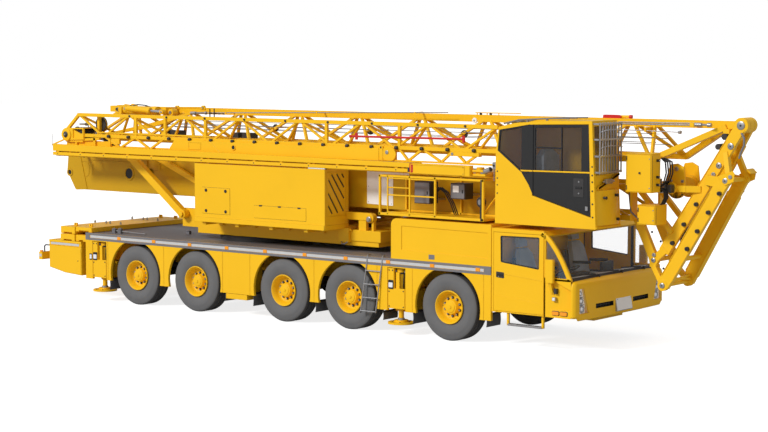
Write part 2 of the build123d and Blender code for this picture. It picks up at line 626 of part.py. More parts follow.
# ---------------------------------------------------------------- operator's cabin
# side view corners, (x, z)
CABIN_SIDE = [
    (3850, 2175),
    (5900, 2175),
    (5810, 3990),
    (4880, 3975),
    (4260, 3925),
    (3920, 3850),
    (3862, 3420),
]
cabin_outer = plate(CABIN_SIDE, CABIN_Y[0], CABIN_Y[1])
room = Face(Wire.make_polygon([Vector(x, 0, z) for x, z in CABIN_SIDE], close=True))
room = offset(room, -50, kind=Kind.INTERSECTION)
room = Pos(0, CABIN_Y[0] + 50, 0) * extrude(room, amount=CABIN_Y[1] - CABIN_Y[0] - 100, dir=(0, 1, 0))
cabin = cabin_outer - room
# corners of the fixed rear pane, of the door opening and of the door, (x, z)
REAR_PANE = [(3935, 3800), (4560, 3905), (4560, 2850), (4400, 3075), (3900, 3440)]
DOOR_GAP = [(4620, 2690), (4620, 3905), (5745, 3935), (5800, 2370)]
cabin -= plate(REAR_PANE, CABIN_Y[0] - 10, CABIN_Y[0] + 60)
cabin -= plate(DOOR_GAP, CABIN_Y[0] - 10, CABIN_Y[0] + 60)
cabin -= block(5700, 5950, CABIN_Y[0] + 60, CABIN_Y[1] - 60, 3080, 3900)
arms = [
    block(x - 40, x + 40, CABIN_Y[1] - 5, -INNER_Y, z - 25, z + 25) for x in (4400, 5500) for z in (2315, 2845)
]
# guard before the front window: two posts, upright bars and four bands
guard = []
GUARD_X = 5945
for i in range(9):
    y = CABIN_Y[0] + 40 + i * 85
    guard.append(block(GUARD_X - 9, GUARD_X + 9, y - 9, y + 9, 3110, 3960))
for z in (3130, 3400, 3680, 3940):
    guard.append(block(GUARD_X - 12, GUARD_X + 12, CABIN_Y[0] + 31, CABIN_Y[0] + 729, z - 12, z + 12))
    for y in (CABIN_Y[0] + 31, CABIN_Y[0] + 705):
        guard.append(block(5780, GUARD_X, y, y + 24, z - 12, z + 12))
seat = [block(4700, 5200, -1340, -860, 2225, 2700), block(4620, 4740, -1340, -860, 2600, 3350)]
save("operator_cabin", fused([cabin, *arms, *guard, *seat]))
save("operator_glass", plate(REAR_PANE, CABIN_Y[0] + 10, CABIN_Y[0] + 22))

door = offset(make_face(Polyline(*[(x, z) for x, z in DOOR_GAP], close=True)), -6, kind=Kind.INTERSECTION)
door = extrude(Plane(origin=(0, CABIN_Y[0] + 50, 0), x_dir=(1, 0, 0), z_dir=(0, -1, 0)) * door, amount=50)
door_window = [(4690, 3120), (4690, 3845), (5675, 3865), (5700, 3120)]
door -= plate(door_window, CABIN_Y[0] - 10, CABIN_Y[0] + 60)
save("operator_door", door)

# ---------------------------------------------------------------- jib
LOW_Y = 600  # half spacing of the lower chords
JIB_BEND = 6450  # where the lower chords turn up to the hinge
HINGE_Y = 72  # half length of the hinge barrel
BAYS = 18
tip_x, tip_z = TIP_PIN
inner = [bar((JIB_REAR, 0, tip_z), (tip_x - 60, 0, tip_z), 130, 130)]
inner.append(rod_y(*TIP_PIN, TIP_R, -HINGE_Y, HINGE_Y))
for way in (-1, 1):
    inner.append(block(JIB_REAR, JIB_BEND, way * (LOW_Y - 50), way * (LOW_Y + 50), JIB_LOW - 50, JIB_LOW + 50))
    inner.append(bar((JIB_BEND - 20, way * LOW_Y, JIB_LOW), (tip_x - 330, way * 50, tip_z - 40), 100, 100))
    inner.append(bar((JIB_BEND - 20, way * LOW_Y, JIB_LOW), (JIB_BEND - 300, 0, tip_z), 50, 50))
step = (JIB_BEND - JIB_REAR) / BAYS
for i in range(BAYS):
    a = JIB_REAR + i * step + 40
    b = a + step - 80
    for way in (-1, 1):
        low, high = (a, way * LOW_Y, JIB_LOW), (b, 0, tip_z)
        if i % 2:
            low, high = (b, way * LOW_Y, JIB_LOW), (a, 0, tip_z)
        inner.append(bar(low, high, 50, 50))
    if i < BAYS - 1:
        inner.append(block(a - 25, a + 25, -LOW_Y, LOW_Y, JIB_LOW - 25, JIB_LOW + 25))
inner.append(block(FOLD_PIN[0], JIB_REAR + 10, -600, -545, 3295, 3355))
inner.append(rod_z(*FOLD_PIN, 50, 3290, 3360))
jib = fused(inner) - rod_y(*TIP_PIN, 45 + PIN_PLAY, -120, 120)
save("jib_inner", jib - rod_z(*FOLD_PIN, 20 + PIN_PLAY, 3280, 3370))

# trolley winch side plate and box girder, (x, z)
WINCH_PLATE = [
    (-7230, 3330), (-7150, 3262), (-6690, 3262), (-6690, 3420), (-6960, 3520), (-7130, 3560), (-7230, 3480),
]
GIRDER = [(-4200, 3165), (1500, 3165), (1500, 3385), (-4020, 3385)]
outer_x = (-6850, 3790)
outer = [
    block(-7340, -7260, -1345, FOLD_PIN[1], 3375, 3445),
    rod_z(*FOLD_PIN, 50, 3366, 3445),
    rod_z(*FOLD_PIN, 20, 3280, 3370),
    bar((-7300, -1310, 3420), (-6830, -1310, 3835), 60, 60),
    # trolley winch at the rear
    rod_y(-7080, 3410, 110, -1290, -880),
    plate(WINCH_PLATE, -1350, -1320),
    plate(WINCH_PLATE, -1000, -970),
    block(-7080, -6690, -1340, -980, 3262, 3290),
    # return sheave on its post
    block(-6390, -6310, -1330, -800, 3390, 3430),
    block(-6380, -6320, -1200, -1150, 3400, 3840),
    block(-6370, -6330, -1320, -1160, 3820, 3855),
    rod_y(-6350, 3645, 145, -1152, -1105),
    # box girder below the near lower chord
    plate(GIRDER, -1370, -1240),
]
for x in (-3800, -2600, -1400, -200, 1000):
    outer.append(block(x - 30, x + 30, -1345, -1275, 3380, 3400))
# chord (y, z)
CHORDS = [(-1310, 3835), (-1310, 3410), (-820, 3410)]
for y, z in CHORDS:
    start = outer_x[0] if z > 3500 else -7300
    outer.append(block(start, outer_x[1], y - 35, y + 35, z - 35, z + 35))
bays = 14
step = (outer_x[1] - outer_x[0]) / bays
for i in range(bays):
    a = outer_x[0] + i * step + 30
    b = a + step - 60
    (y0, z0), (y1, z1), (y2, z2) = CHORDS
    if i % 2:
        outer.append(bar((a, y1, z1), (b, y0, z0), 40, 40))
        outer.append(bar((a, y2, z2), (b, y0, z0), 40, 40))
    else:
        outer.append(bar((a, y0, z0), (b, y1, z1), 40, 40))
        outer.append(bar((a, y0, z0), (b, y2, z2), 40, 40))
    outer.append(block(a - 20, a + 20, y1, y2, z1 - 20, z1 + 20))
save("jib_outer", fused(outer))
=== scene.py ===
import json
import math

import bmesh
import bpy
from mathutils import Matrix, Vector


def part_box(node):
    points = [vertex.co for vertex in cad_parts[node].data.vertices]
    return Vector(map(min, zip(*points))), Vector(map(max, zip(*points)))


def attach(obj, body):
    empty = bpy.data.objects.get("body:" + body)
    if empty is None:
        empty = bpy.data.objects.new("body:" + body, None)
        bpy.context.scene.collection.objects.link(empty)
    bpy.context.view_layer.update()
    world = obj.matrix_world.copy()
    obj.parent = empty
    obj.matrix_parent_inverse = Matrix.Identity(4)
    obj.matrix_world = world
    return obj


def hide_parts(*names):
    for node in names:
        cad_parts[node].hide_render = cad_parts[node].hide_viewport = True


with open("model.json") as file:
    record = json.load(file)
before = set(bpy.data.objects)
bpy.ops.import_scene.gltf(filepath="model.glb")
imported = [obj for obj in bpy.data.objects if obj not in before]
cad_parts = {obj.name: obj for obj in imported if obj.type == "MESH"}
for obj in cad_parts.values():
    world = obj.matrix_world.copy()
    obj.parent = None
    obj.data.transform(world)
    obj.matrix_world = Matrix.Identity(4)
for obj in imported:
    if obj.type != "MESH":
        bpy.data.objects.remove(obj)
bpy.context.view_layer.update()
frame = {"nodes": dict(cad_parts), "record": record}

# Mobile tower crane in its road position. Metres, +X driving direction, +Y left, +Z up.
HALF_W = 1.5
AXLES = (2.83, 0.54, -1.08, -3.375, -5.03)
TYRE_R = 0.607
TYRE_W = 0.4
TYRE_OUT = 1.464
RIM_R = 0.292
BOLT_CIRCLE_R = 0.1675
BOLTS = 10
DECK_TOP = 1.4
HOOD_TOP = 2.14
STRIP_LOW = 1.256
TREAD_STEPS = 96  # steps of the outline round the wheel
SIDES = ("left", "right")


def way_of(side):
    return 1 if side == "left" else -1


# ---------------------------------------------------------------- materials
def srgb(r, g, b):
    """A colour given as it looks on screen, 0 to 255, in linear light."""
    return tuple(((c / 255 + 0.055) / 1.055) ** 2.4 if c > 10 else c / 255 / 12.92 for c in (r, g, b))


def new_material(name):
    material = bpy.data.materials.new(name)
    material.use_nodes = True
    nodes = material.node_tree.nodes
    return material, nodes, material.node_tree.links, nodes["Principled BSDF"]


def noise(nodes, links, scale, detail=3.0, roughness=0.5):
    """A noise in object space, the same in every view."""
    place = nodes.new("ShaderNodeTexCoord")
    texture = nodes.new("ShaderNodeTexNoise")
    texture.inputs["Scale"].default_value = scale
    texture.inputs["Detail"].default_value = detail
    texture.inputs["Roughness"].default_value = roughness
    links.new(place.outputs["Object"], texture.inputs["Vector"])
    return texture


def ramp(nodes, links, source, stops):
    """Colours along a value from 0 to 1: stops are (position, linear colour)."""
    node = nodes.new("ShaderNodeValToRGB")
    elements = node.color_ramp.elements
    while len(elements) < len(stops):
        elements.new(0.5)
    for element, (position, colour) in zip(elements, stops):
        element.position = position
        element.color = (*colour, 1.0)
    links.new(source, node.inputs["Fac"])
    return node


def spread(nodes, links, source, low, high):
    """Maps 0..1 to low..high."""
    node = nodes.new("ShaderNodeMapRange")
    node.inputs["To Min"].default_value = low
    node.inputs["To Max"].default_value = high
    links.new(source, node.inputs["Value"])
    return node.outputs["Result"]


def bump(nodes, links, height, strength, distance):
    node = nodes.new("ShaderNodeBump")
    node.inputs["Strength"].default_value = strength
    node.inputs["Distance"].default_value = distance
    links.new(height, node.inputs["Height"])
    return node.outputs["Normal"]


def shaded(colour, factor):
    return tuple(c * factor for c in colour)


def surface(name, colour, vary=0.05, rough=(0.35, 0.5), metal=0.0, scale=1.5, grain=None, coat=0.0):
    """A finish with cloudy colour variation, uneven gloss and a fine grain."""
    material, nodes, links, shader = new_material(name)
    clouds = noise(nodes, links, scale, 5.0, 0.6)
    tint = ramp(nodes, links, clouds.outputs["Fac"], [
        (0.3, shaded(colour, 1 - vary)), (0.5, colour), (0.72, tuple(min(1.0, c * (1 + vary)) for c in colour)),
    ])
    links.new(tint.outputs["Color"], shader.inputs["Base Color"])
    patches = noise(nodes, links, scale * 4, 4.0, 0.6)
    links.new(spread(nodes, links, patches.outputs["Fac"], *rough), shader.inputs["Roughness"])
    shader.inputs["Metallic"].default_value = metal
    if coat:
        shader.inputs["Coat Weight"].default_value = coat
        shader.inputs["Coat Roughness"].default_value = 0.12
    if grain:
        grain_scale, strength, depth = grain
        fine = noise(nodes, links, grain_scale, 2.0, 0.5)
        links.new(bump(nodes, links, fine.outputs["Fac"], strength, depth), shader.inputs["Normal"])
    return material


def paint(name, colour, vary=0.03):
    """Sprayed paint: even colour, faint orange peel and rounded edges."""
    material, nodes, links, shader = new_material(name)
    clouds = noise(nodes, links, 0.9, 4.0, 0.55)
    tint = ramp(nodes, links, clouds.outputs["Fac"], [
        (0.32, shaded(colour, 1 - vary)), (0.5, colour), (0.7, tuple(min(1.0, c * (1 + vary * 0.6)) for c in colour)),
    ])
    links.new(tint.outputs["Color"], shader.inputs["Base Color"])
    peel = noise(nodes, links, 160.0, 2.0, 0.5)
    patches = noise(nodes, links, 3.0, 3.0, 0.6)
    links.new(spread(nodes, links, patches.outputs["Fac"], 0.34, 0.46), shader.inputs["Roughness"])
    edge = nodes.new("ShaderNodeBevel")
    edge.samples = 4
    edge.inputs["Radius"].default_value = 0.012
    relief = nodes.new("ShaderNodeBump")
    relief.inputs["Strength"].default_value = 0.05
    relief.inputs["Distance"].default_value = 0.002
    links.new(peel.outputs["Fac"], relief.inputs["Height"])
    links.new(edge.outputs["Normal"], relief.inputs["Normal"])
    links.new(relief.outputs["Normal"], shader.inputs["Normal"])
    shader.inputs["Specular IOR Level"].default_value = 0.22
    return material


def tread_plate(name, colour):
    """Deck plating with raised dashes in two directions."""
    material, nodes, links, shader = new_material(name)
    place = nodes.new("ShaderNodeTexCoord")
    heights = []
    for turn in (math.radians(45), math.radians(-45)):
        turned = nodes.new("ShaderNodeMapping")
        turned.inputs["Rotation"].default_value = (0, 0, turn)
        turned.inputs["Scale"].default_value = (14, 42, 14)
        links.new(place.outputs["Object"], turned.inputs["Vector"])
        cells = nodes.new("ShaderNodeTexVoronoi")
        cells.feature = "F1"
        cells.inputs["Scale"].default_value = 1.0
        cells.inputs["Randomness"].default_value = 0.0
        links.new(turned.outputs["Vector"], cells.inputs["Vector"])
        heights.append(cells.outputs["Distance"])
    low = nodes.new("ShaderNodeMath")
    low.operation = "MINIMUM"
    links.new(heights[0], low.inputs[0])
    links.new(heights[1], low.inputs[1])
    raised = ramp(nodes, links, low.outputs["Value"], [(0.15, (1, 1, 1)), (0.3, (0, 0, 0))])
    links.new(bump(nodes, links, raised.outputs["Color"], 0.4, 0.003), shader.inputs["Normal"])
    clouds = noise(nodes, links, 1.3, 5.0, 0.6)
    tint = ramp(nodes, links, clouds.outputs["Fac"], [(0.3, shaded(colour, 0.85)), (0.7, shaded(colour, 1.1))])
    links.new(tint.outputs["Color"], shader.inputs["Base Color"])
    links.new(spread(nodes, links, clouds.outputs["Fac"], 0.45, 0.65), shader.inputs["Roughness"])
    return material


def glazing(name, colour, alpha, rough=0.05):
    """Glass seen as a thin tinted pane, faintly smeared."""
    material, nodes, links, shader = new_material(name)
    smear = noise(nodes, links, 2.2, 4.0, 0.7)
    links.new(spread(nodes, links, smear.outputs["Fac"], rough, rough + 0.1), shader.inputs["Roughness"])
    tint = ramp(nodes, links, smear.outputs["Fac"], [(0.3, shaded(colour, 0.9)), (0.7, shaded(colour, 1.1))])
    links.new(tint.outputs["Color"], shader.inputs["Base Color"])
    shader.inputs["Alpha"].default_value = alpha
    shader.inputs["IOR"].default_value = 1.5
    return material


def painted_glow(material, strength):
    """Gives a lens a little light of its own: a painted highlight that brightens lamps on shaded faces to the look of
    their bright reflections.
    """
    shader = material.node_tree.nodes["Principled BSDF"]
    shader.inputs["Emission Color"].default_value = (1, 1, 1, 1)
    shader.inputs["Emission Strength"].default_value = strength
    return material


YELLOW = (0.965, 0.545, 0.012)
MATERIALS = {
    "yellow": paint("yellow_paint_finish", YELLOW),
    # painted shade: the yellow darkened to 0.64 of itself stands in for the shadow the folded jib casts on the mast
    # sections
    "mast": paint("yellow_paint_with_painted_shade", shaded(YELLOW, 0.64)),
    "deck": tread_plate("deck_plate", srgb(112, 110, 114)),
    "grey": surface("grey_coat", srgb(120, 118, 121), 0.06, (0.4, 0.6), 0.0, 2.0, (220.0, 0.08, 0.001)),
    "dark": surface("dark_steel", srgb(48, 46, 46), 0.12, (0.45, 0.65), 0.0, 3.0, (180.0, 0.12, 0.001)),
    "black": surface("black_plastic", srgb(26, 26, 27), 0.1, (0.35, 0.55), 0.0, 4.0, (300.0, 0.1, 0.0006)),
    "silver": surface("zinc_steel", srgb(170, 170, 172), 0.08, (0.25, 0.45), 0.75, 6.0, (260.0, 0.06, 0.0006)),
    "rod": surface("chromed_rod", srgb(205, 206, 210), 0.04, (0.12, 0.25), 0.9, 6.0, (400.0, 0.03, 0.0003)),
    # painted shade: the tread rubber is darker than the sidewall for the shade that falls on the tyre's tread
    "tread": surface("tyre_tread_with_painted_shade", srgb(72, 71, 71), 0.08, (0.75, 0.92), 0.0, 6.0, (150.0, 0.25, 0.0015)),
    "rubber": surface("tyre_rubber", srgb(104, 104, 105), 0.06, (0.7, 0.88), 0.0, 5.0, (140.0, 0.18, 0.0012)),
    "red": surface("red_paint_finish", srgb(206, 32, 34), 0.05, (0.3, 0.45), 0.0, 2.0, (160.0, 0.05, 0.001)),
    "white": surface("white_panel", srgb(246, 245, 241), 0.03, (0.45, 0.6), 0.0, 2.0, (120.0, 0.05, 0.001)),
    "lightstrip": surface("reflective_strip", srgb(206, 207, 208), 0.05, (0.3, 0.45), 0.1, 8.0, (500.0, 0.2, 0.0006)),
    "amber": surface("amber_lens", srgb(255, 160, 20), 0.06, (0.15, 0.3), 0.0, 30.0, (90.0, 0.2, 0.001), 0.6),
    # painted highlight: the reflectors glow a little to look bright on the shaded front
    "lamp": painted_glow(surface("lamp_reflector", srgb(228, 231, 235), 0.16, (0.1, 0.25), 0.4, 30.0, (60.0, 0.3, 0.002)),
                    0.22),
    "mudflap": surface("mudflap_rubber", srgb(92, 92, 94), 0.08, (0.6, 0.8), 0.0, 6.0, (120.0, 0.2, 0.001)),
    # painted light: the seat fabric is lightened against the shadow of the cab roof
    "seat": surface("seat_fabric_with_painted_light", srgb(180, 190, 202), 0.12, (0.8, 0.95), 0.0, 6.0, (420.0, 0.5, 0.002)),
    "glass": glazing("clear_glass", (0.3, 0.44, 0.6), 0.1),
    "clear": glazing("lamp_cover", (0.62, 0.65, 0.68), 0.12),
    # painted light: the dashboard colour is lightened against the cab roof's shadow and stands in for its bright
    # reflections
    "dash": surface("dashboard_grain_with_painted_light", srgb(206, 207, 208), 0.06, (0.55, 0.7), 0.0, 4.0, (320.0, 0.3, 0.001)),
    "dark_glass": glazing("tinted_glass", (0.08, 0.082, 0.086), 0.3),
    "screen": glazing("windscreen_glass", (0.5, 0.56, 0.62), 0.06),
}

# finish of each CAD node that stays visible
NODE_FINISH = {
    "yellow_paint": "yellow",
    "frame_grey": "dark",
    "deck_grey": "deck",
    "glass": "glass",
    "dark_plastic": "black",
    "tyre": "rubber",
}


def dress_nodes():
    for row in frame["record"]["subparts"]:
        node = frame["nodes"][row["node"]]
        finish = MATERIALS[NODE_FINISH[row["material_slot"]]]
        if not node.material_slots:
            node.data.materials.append(finish)
        for slot in node.material_slots:
            slot.material = finish


def refinish(node, finish):
    for slot in frame["nodes"][node].material_slots:
        slot.material = MATERIALS[finish]


# ---------------------------------------------------------------- mesh building
def turns(count):
    """Equal steps of a full turn."""
    return [2 * math.pi * i / count for i in range(count)]


def rect(u0, v0, u1, v1):
    return [(u0, v0), (u1, v0), (u1, v1), (u0, v1)]


# a point from its place u, v in an outline and its distance w along the axis
PLACERS = {
    "x": lambda u, v, w: (w, u, v),
    "y": lambda u, v, w: (u, w, v),
    "z": lambda u, v, w: (u, v, w),
}


class Form:
    """Collects simple solids in one mesh. done() gives it edges, finishes and a body."""

    def __init__(self, *finishes):
        self.bm = bmesh.new()
        self.finishes = finishes
        self.index = 0

    def use(self, finish):
        self.index = self.finishes.index(finish)
        return self

    def face(self, vertices):
        face = self.bm.faces.new(vertices)
        face.material_index = self.index
        return face

    def hull(self, rings, closed_ends=True, loop=False):
        """Joins rings of points, each with the same count, into a skin."""
        rows = [[self.bm.verts.new(p) for p in ring] for ring in rings]
        count = len(rows[0])
        pairs = list(zip(rows, rows[1:]))
        if loop:
            pairs.append((rows[-1], rows[0]))
        for a, b in pairs:
            for i in range(count):
                j = (i + 1) % count
                self.face((a[i], a[j], b[j], b[i]))
        if closed_ends and not loop:
            self.face(list(reversed(rows[0])))
            self.face(rows[-1])
        return self

    def box(self, lo, hi):
        (x0, x1), (y0, y1), (z0, z1) = (sorted(pair) for pair in zip(lo, hi))
        ring = rect(x0, y0, x1, y1)
        return self.hull([[(x, y, z0) for x, y in ring], [(x, y, z1) for x, y in ring]])

    def prism(self, outline, axis, lo, hi):
        """An outline in the plane across the axis, from lo to hi along it."""
        place = PLACERS[axis]
        area = sum(a[0] * b[1] - b[0] * a[1] for a, b in zip(outline, outline[1:] + outline[:1]))
        points = outline if (area > 0) != (axis == "y") else list(reversed(outline))
        lo, hi = min(lo, hi), max(lo, hi)
        return self.hull([[place(u, v, lo) for u, v in points], [place(u, v, hi) for u, v in points]])

    def frame(self, outer, inner, axis, lo, hi):
        """A flat ring between two outlines with the same number of corners, from lo to hi along the axis."""
        place = PLACERS[axis]
        loops = [(outer, lo), (outer, hi), (inner, hi), (inner, lo)]
        rings = [[place(u, v, w) for u, v in outline] for outline, w in loops]
        return self.hull(rings, closed_ends=False, loop=True)

    def rod(self, start, end, radius, sides=12, end_radius=None):
        a, b = Vector(start), Vector(end)
        axis = (b - a).normalized()
        u = axis.orthogonal().normalized()
        v = axis.cross(u)
        rings = []
        for centre, r in ((a, radius), (b, radius if end_radius is None else end_radius)):
            rings.append([centre + (u * math.cos(t) + v * math.sin(t)) * r for t in turns(sides)])
        return self.hull(rings)

    def post(self, x, y, low, high, radius, sides):
        return self.rod((x, y, low), (x, y, high), radius, sides)

    def pin(self, x, z, start, end, radius, sides):
        """A rod across the crane, from y to y."""
        return self.rod((x, start, z), (x, end, z), radius, sides)

    def bar(self, start, end, width, height):
        """A rectangular member between two points, its width across the upright plane it lies in."""
        a, b = Vector(start), Vector(end)
        axis = (b - a).normalized()
        up = Vector((0, 0, 1)) if abs(axis.z) < 0.95 else Vector((1, 0, 0))
        side = axis.cross(up).normalized() * width / 2
        lift = side.cross(axis).normalized() * height / 2
        ring = (side + lift, lift - side, -side - lift, side - lift)
        return self.hull([[a + p for p in ring], [b + p for p in ring]])

    def pipe(self, points, radius, sides=8):
        """A bent tube through points."""
        points = [Vector(p) for p in points]
        rings = []
        last = None
        for i, p in enumerate(points):
            back = (p - points[i - 1]).normalized() if i else (points[1] - p).normalized()
            ahead = (points[i + 1] - p).normalized() if i + 1 < len(points) else back
            axis = (back + ahead).normalized()
            u = last - axis * last.dot(axis) if last else axis.orthogonal()
            u.normalize()
            last = u
            v = axis.cross(u)
            stretch = 1 / max(0.5, axis.dot(back))
            rings.append([p + (u * math.cos(t) + v * math.sin(t)) * radius * stretch for t in turns(sides)])
        return self.hull(rings)

    def lathe(self, rows, centre, axis=(0, 1, 0), sides=48, closed=True):
        """Turns rows of (distance along the axis, radius) round the axis."""
        axis = Vector(axis).normalized()
        u = axis.orthogonal().normalized()
        v = axis.cross(u)
        centre = Vector(centre)
        rings = []
        for along, radius in rows:
            rings.append([centre + axis * along + (u * math.cos(t) + v * math.sin(t)) * max(radius, 1e-4)
                          for t in turns(sides)])
        return self.hull(rings, closed_ends=closed)

    def done(self, name, body, bevel=0.004, segments=2, replaces=(), angle=35):
        mesh = bpy.data.meshes.new(name)
        bmesh.ops.recalc_face_normals(self.bm, faces=self.bm.faces)
        self.bm.to_mesh(mesh)
        self.bm.free()
        return place_mesh(mesh, name, body, self.finishes, bevel, segments, replaces, angle)


def place_mesh(mesh, name, body, finishes, bevel, segments=2, replaces=(), angle=35):
    if not mesh.materials:
        for finish in finishes:
            mesh.materials.append(MATERIALS[finish])
    piece = bpy.data.objects.new(name, mesh)
    bpy.context.scene.collection.objects.link(piece)
    for polygon in mesh.polygons:
        polygon.use_smooth = True
    mesh.set_sharp_from_angle(angle=math.radians(angle))
    if bevel:
        modifier = piece.modifiers.new("edges", "BEVEL")
        modifier.width = bevel
        modifier.segments = segments
        modifier.limit_method = "ANGLE"
        modifier.angle_limit = math.radians(angle)
        modifier.harden_normals = True
    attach(piece, body)
    if replaces:
        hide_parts(*replaces)
    return piece


# ---------------------------------------------------------------- outlines
def rounded(corners, radius, steps=4):
    """The outline with each corner turned into a curve."""
    points = []
    for i, corner in enumerate(corners):
        here = Vector((*corner, 0))
        back = Vector((*corners[i - 1], 0)) - here
        ahead = Vector((*corners[(i + 1) % len(corners)], 0)) - here
        cut = min(radius, 0.45 * back.length, 0.45 * ahead.length)
        start, end = here + back.normalized() * cut, here + ahead.normalized() * cut
        for k in range(steps + 1):
            t = k / steps
            p = start * (1 - t) ** 2 + here * 2 * t * (1 - t) + end * t ** 2
            points.append((p.x, p.y))
    return points


def grown(corners, by):
    """The outline moved outwards by a distance, inwards where it is negative."""
    area = sum(a[0] * b[1] - b[0] * a[1] for a, b in zip(corners, corners[1:] + corners[:1]))
    turn = 1 if area > 0 else -1
    moved = []
    for i, corner in enumerate(corners):
        here = Vector(corner)
        a = (here - Vector(corners[i - 1])).normalized()
        b = (Vector(corners[(i + 1) % len(corners)]) - here).normalized()
        na, nb = Vector((a.y, -a.x)) * turn, Vector((b.y, -b.x)) * turn
        middle = (na + nb).normalized()
        p = here + middle * by / max(0.3, middle.dot(na))
        moved.append((p.x, p.y))
    return moved


# ---------------------------------------------------------------- wheels
def tyre_form(way):
    """Tyre with a bulging sidewall and three grooves, centred on the wheel's middle plane."""
    half = TYRE_W / 2
    # (distance from the middle plane, radius)
    rows = [
        (half - 0.045, RIM_R + 0.006), (half - 0.036, RIM_R + 0.028), (half - 0.02, RIM_R + 0.06),
        (half - 0.006, RIM_R + 0.11), (half, RIM_R + 0.165), (half - 0.003, TYRE_R - 0.11),
        (half - 0.007, TYRE_R - 0.1), (half - 0.012, TYRE_R - 0.07), (half - 0.022, TYRE_R - 0.036),
        (half - 0.036, TYRE_R - 0.014), (half - 0.056, TYRE_R - 0.003),
        (half - 0.094, TYRE_R), (half - 0.096, TYRE_R - 0.012), (half - 0.108, TYRE_R - 0.012),
        (half - 0.11, TYRE_R), (0.01, TYRE_R), (0.008, TYRE_R - 0.012),
    ]
    outline = rows + [(-d, r) for d, r in reversed(rows)]
    outline += [(-(half - 0.06), RIM_R + 0.002), (half - 0.06, RIM_R + 0.002)]
    form = Form("rubber", "tread")
    form.hull([[(r * math.cos(t), way * d, r * math.sin(t)) for d, r in outline] for t in turns(TREAD_STEPS)],
              loop=True)
    # faces on the tread take the darker rubber: painted shade
    for face in form.bm.faces:
        middle = face.calc_center_median()
        if abs(middle.y) < half - 0.04 and math.hypot(middle.x, middle.z) > TYRE_R - 0.03:
            face.material_index = form.finishes.index("tread")
    return form


def rim_form(way):
    """Dished rim, wheel disc, ten nuts, hub with its cap."""
    form = Form("yellow", "dark", "silver")
    half = TYRE_W / 2
    dish = [
        (half - 0.03, RIM_R + 0.01), (half - 0.012, RIM_R + 0.012), (half - 0.004, RIM_R + 0.006),
        (half - 0.004, RIM_R - 0.004), (half - 0.012, RIM_R - 0.012),
        (half - 0.034, RIM_R - 0.022), (half - 0.05, RIM_R - 0.036), (0.1, RIM_R - 0.046),
        (0.07, RIM_R - 0.062), (0.062, 0.215), (0.06, 0.15),
        (0.072, 0.142), (0.13, 0.128), (0.14, 0.12), (0.14, 0.1), (0.152, 0.094), (0.158, 0.06), (0.16, 0.0),
    ]
    form.lathe([(way * d, r) for d, r in dish], (0, 0, 0), sides=64, closed=False)
    barrel = [
        (half - 0.03, RIM_R + 0.01), (half - 0.06, RIM_R - 0.008), (-half + 0.062, RIM_R - 0.008),
        (-half + 0.054, RIM_R - 0.02), (0.03, RIM_R - 0.045), (0.046, 0.1), (0.046, 0.0),
    ]
    form.lathe([(way * d, r) for d, r in barrel], (0, 0, 0), sides=64, closed=False)
    for i in range(BOLTS):
        t = 2 * math.pi * (i + 0.5) / BOLTS
        x, z = BOLT_CIRCLE_R * math.cos(t), BOLT_CIRCLE_R * math.sin(t)
        form.use("dark").pin(x, z, way * 0.058, way * 0.084, 0.025, 6)
        form.use("silver").pin(x, z, way * 0.084, way * 0.1, 0.014, 8)
        form.use("dark")
        x, z = 0.226 * math.cos(t + 0.3), 0.226 * math.sin(t + 0.3)
        form.pin(x, z, way * 0.056, way * 0.0645, 0.014, 8)
    form.use("yellow").pin(0, 0, way * 0.155, way * 0.17, 0.03, 16)
    return form


def bare_mesh(form, name):
    mesh = bpy.data.meshes.new(name)
    bmesh.ops.recalc_face_normals(form.bm, faces=form.bm.faces)
    form.bm.to_mesh(mesh)
    form.bm.free()
    for finish in form.finishes:
        mesh.materials.append(MATERIALS[finish])
    return mesh


def wheels():
    for side in SIDES:
        way = way_of(side)
        tyre_mesh = bare_mesh(tyre_form(way), f"tyre_{side}_mesh")
        rim_mesh = bare_mesh(rim_form(way), f"rim_{side}_mesh")
        for number, x in enumerate(AXLES, 1):
            centre = Vector((x, way * (TYRE_OUT - TYRE_W / 2), TYRE_R))
            body = f"wheel_{number}_{side}"
            for kind, source in (("tyre", tyre_mesh), ("rim", rim_mesh)):
                mesh = source.copy()
                mesh.transform(Matrix.Translation(centre))
                replaced = (body,) if kind == "tyre" else ()
                bevel = 0 if kind == "tyre" else 0.0015
                place_mesh(mesh, f"{kind}_{number}_{side}", body, (), bevel, 1, replaced, 40)


# ---------------------------------------------------------------- side strip and its lamps
LAMP_FIRST = -5.492
LAMP_STEP = 0.998
LAMPS = 10
BAND_END = 3.775


def side_strip():
    """Grey band along the deck's edge with its light strip and ten amber lamps."""
    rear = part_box("side_skirts")[0][0]
    for side in SIDES:
        way = way_of(side)
        form = Form("lightstrip", "amber", "grey")
        face, floor = way * (HALF_W + 0.004), way * (HALF_W - 0.005)
        form.use("grey").box((rear, way * 1.49, STRIP_LOW), (BAND_END, face, 1.3))
        form.box((rear, way * 1.49, 1.361), (BAND_END, face, 1.404))
        for x0, x1 in ((rear, rear + 0.125), (3.625, BAND_END)):
            form.box((x0, way * 1.49, 1.2995), (x1, face, 1.3615))
        start = rear + 0.14
        for x in [LAMP_FIRST + LAMP_STEP * k for k in range(LAMPS)] + [3.665]:
            form.use("lightstrip").box((start, floor, 1.304), (x - 0.05, way * (HALF_W - 0.001), 1.357))
            if x < 3.6:
                form.use("amber").box((x - 0.046, floor, 1.305), (x + 0.046, way * (HALF_W + 0.007), 1.367))
            start = x + 0.05
        form.done(f"side_strip_{side}", "carrier", 0.002)


# ---------------------------------------------------------------- ladder, mudguards, rods
LADDER_TOP = (1.19, 1.495, 1.42)
LADDER_FOOT = (1.087, 1.573, 0.385)
LADDER_HALF = 0.175
RUNGS = (0.0, 0.247, 0.494, 0.741)


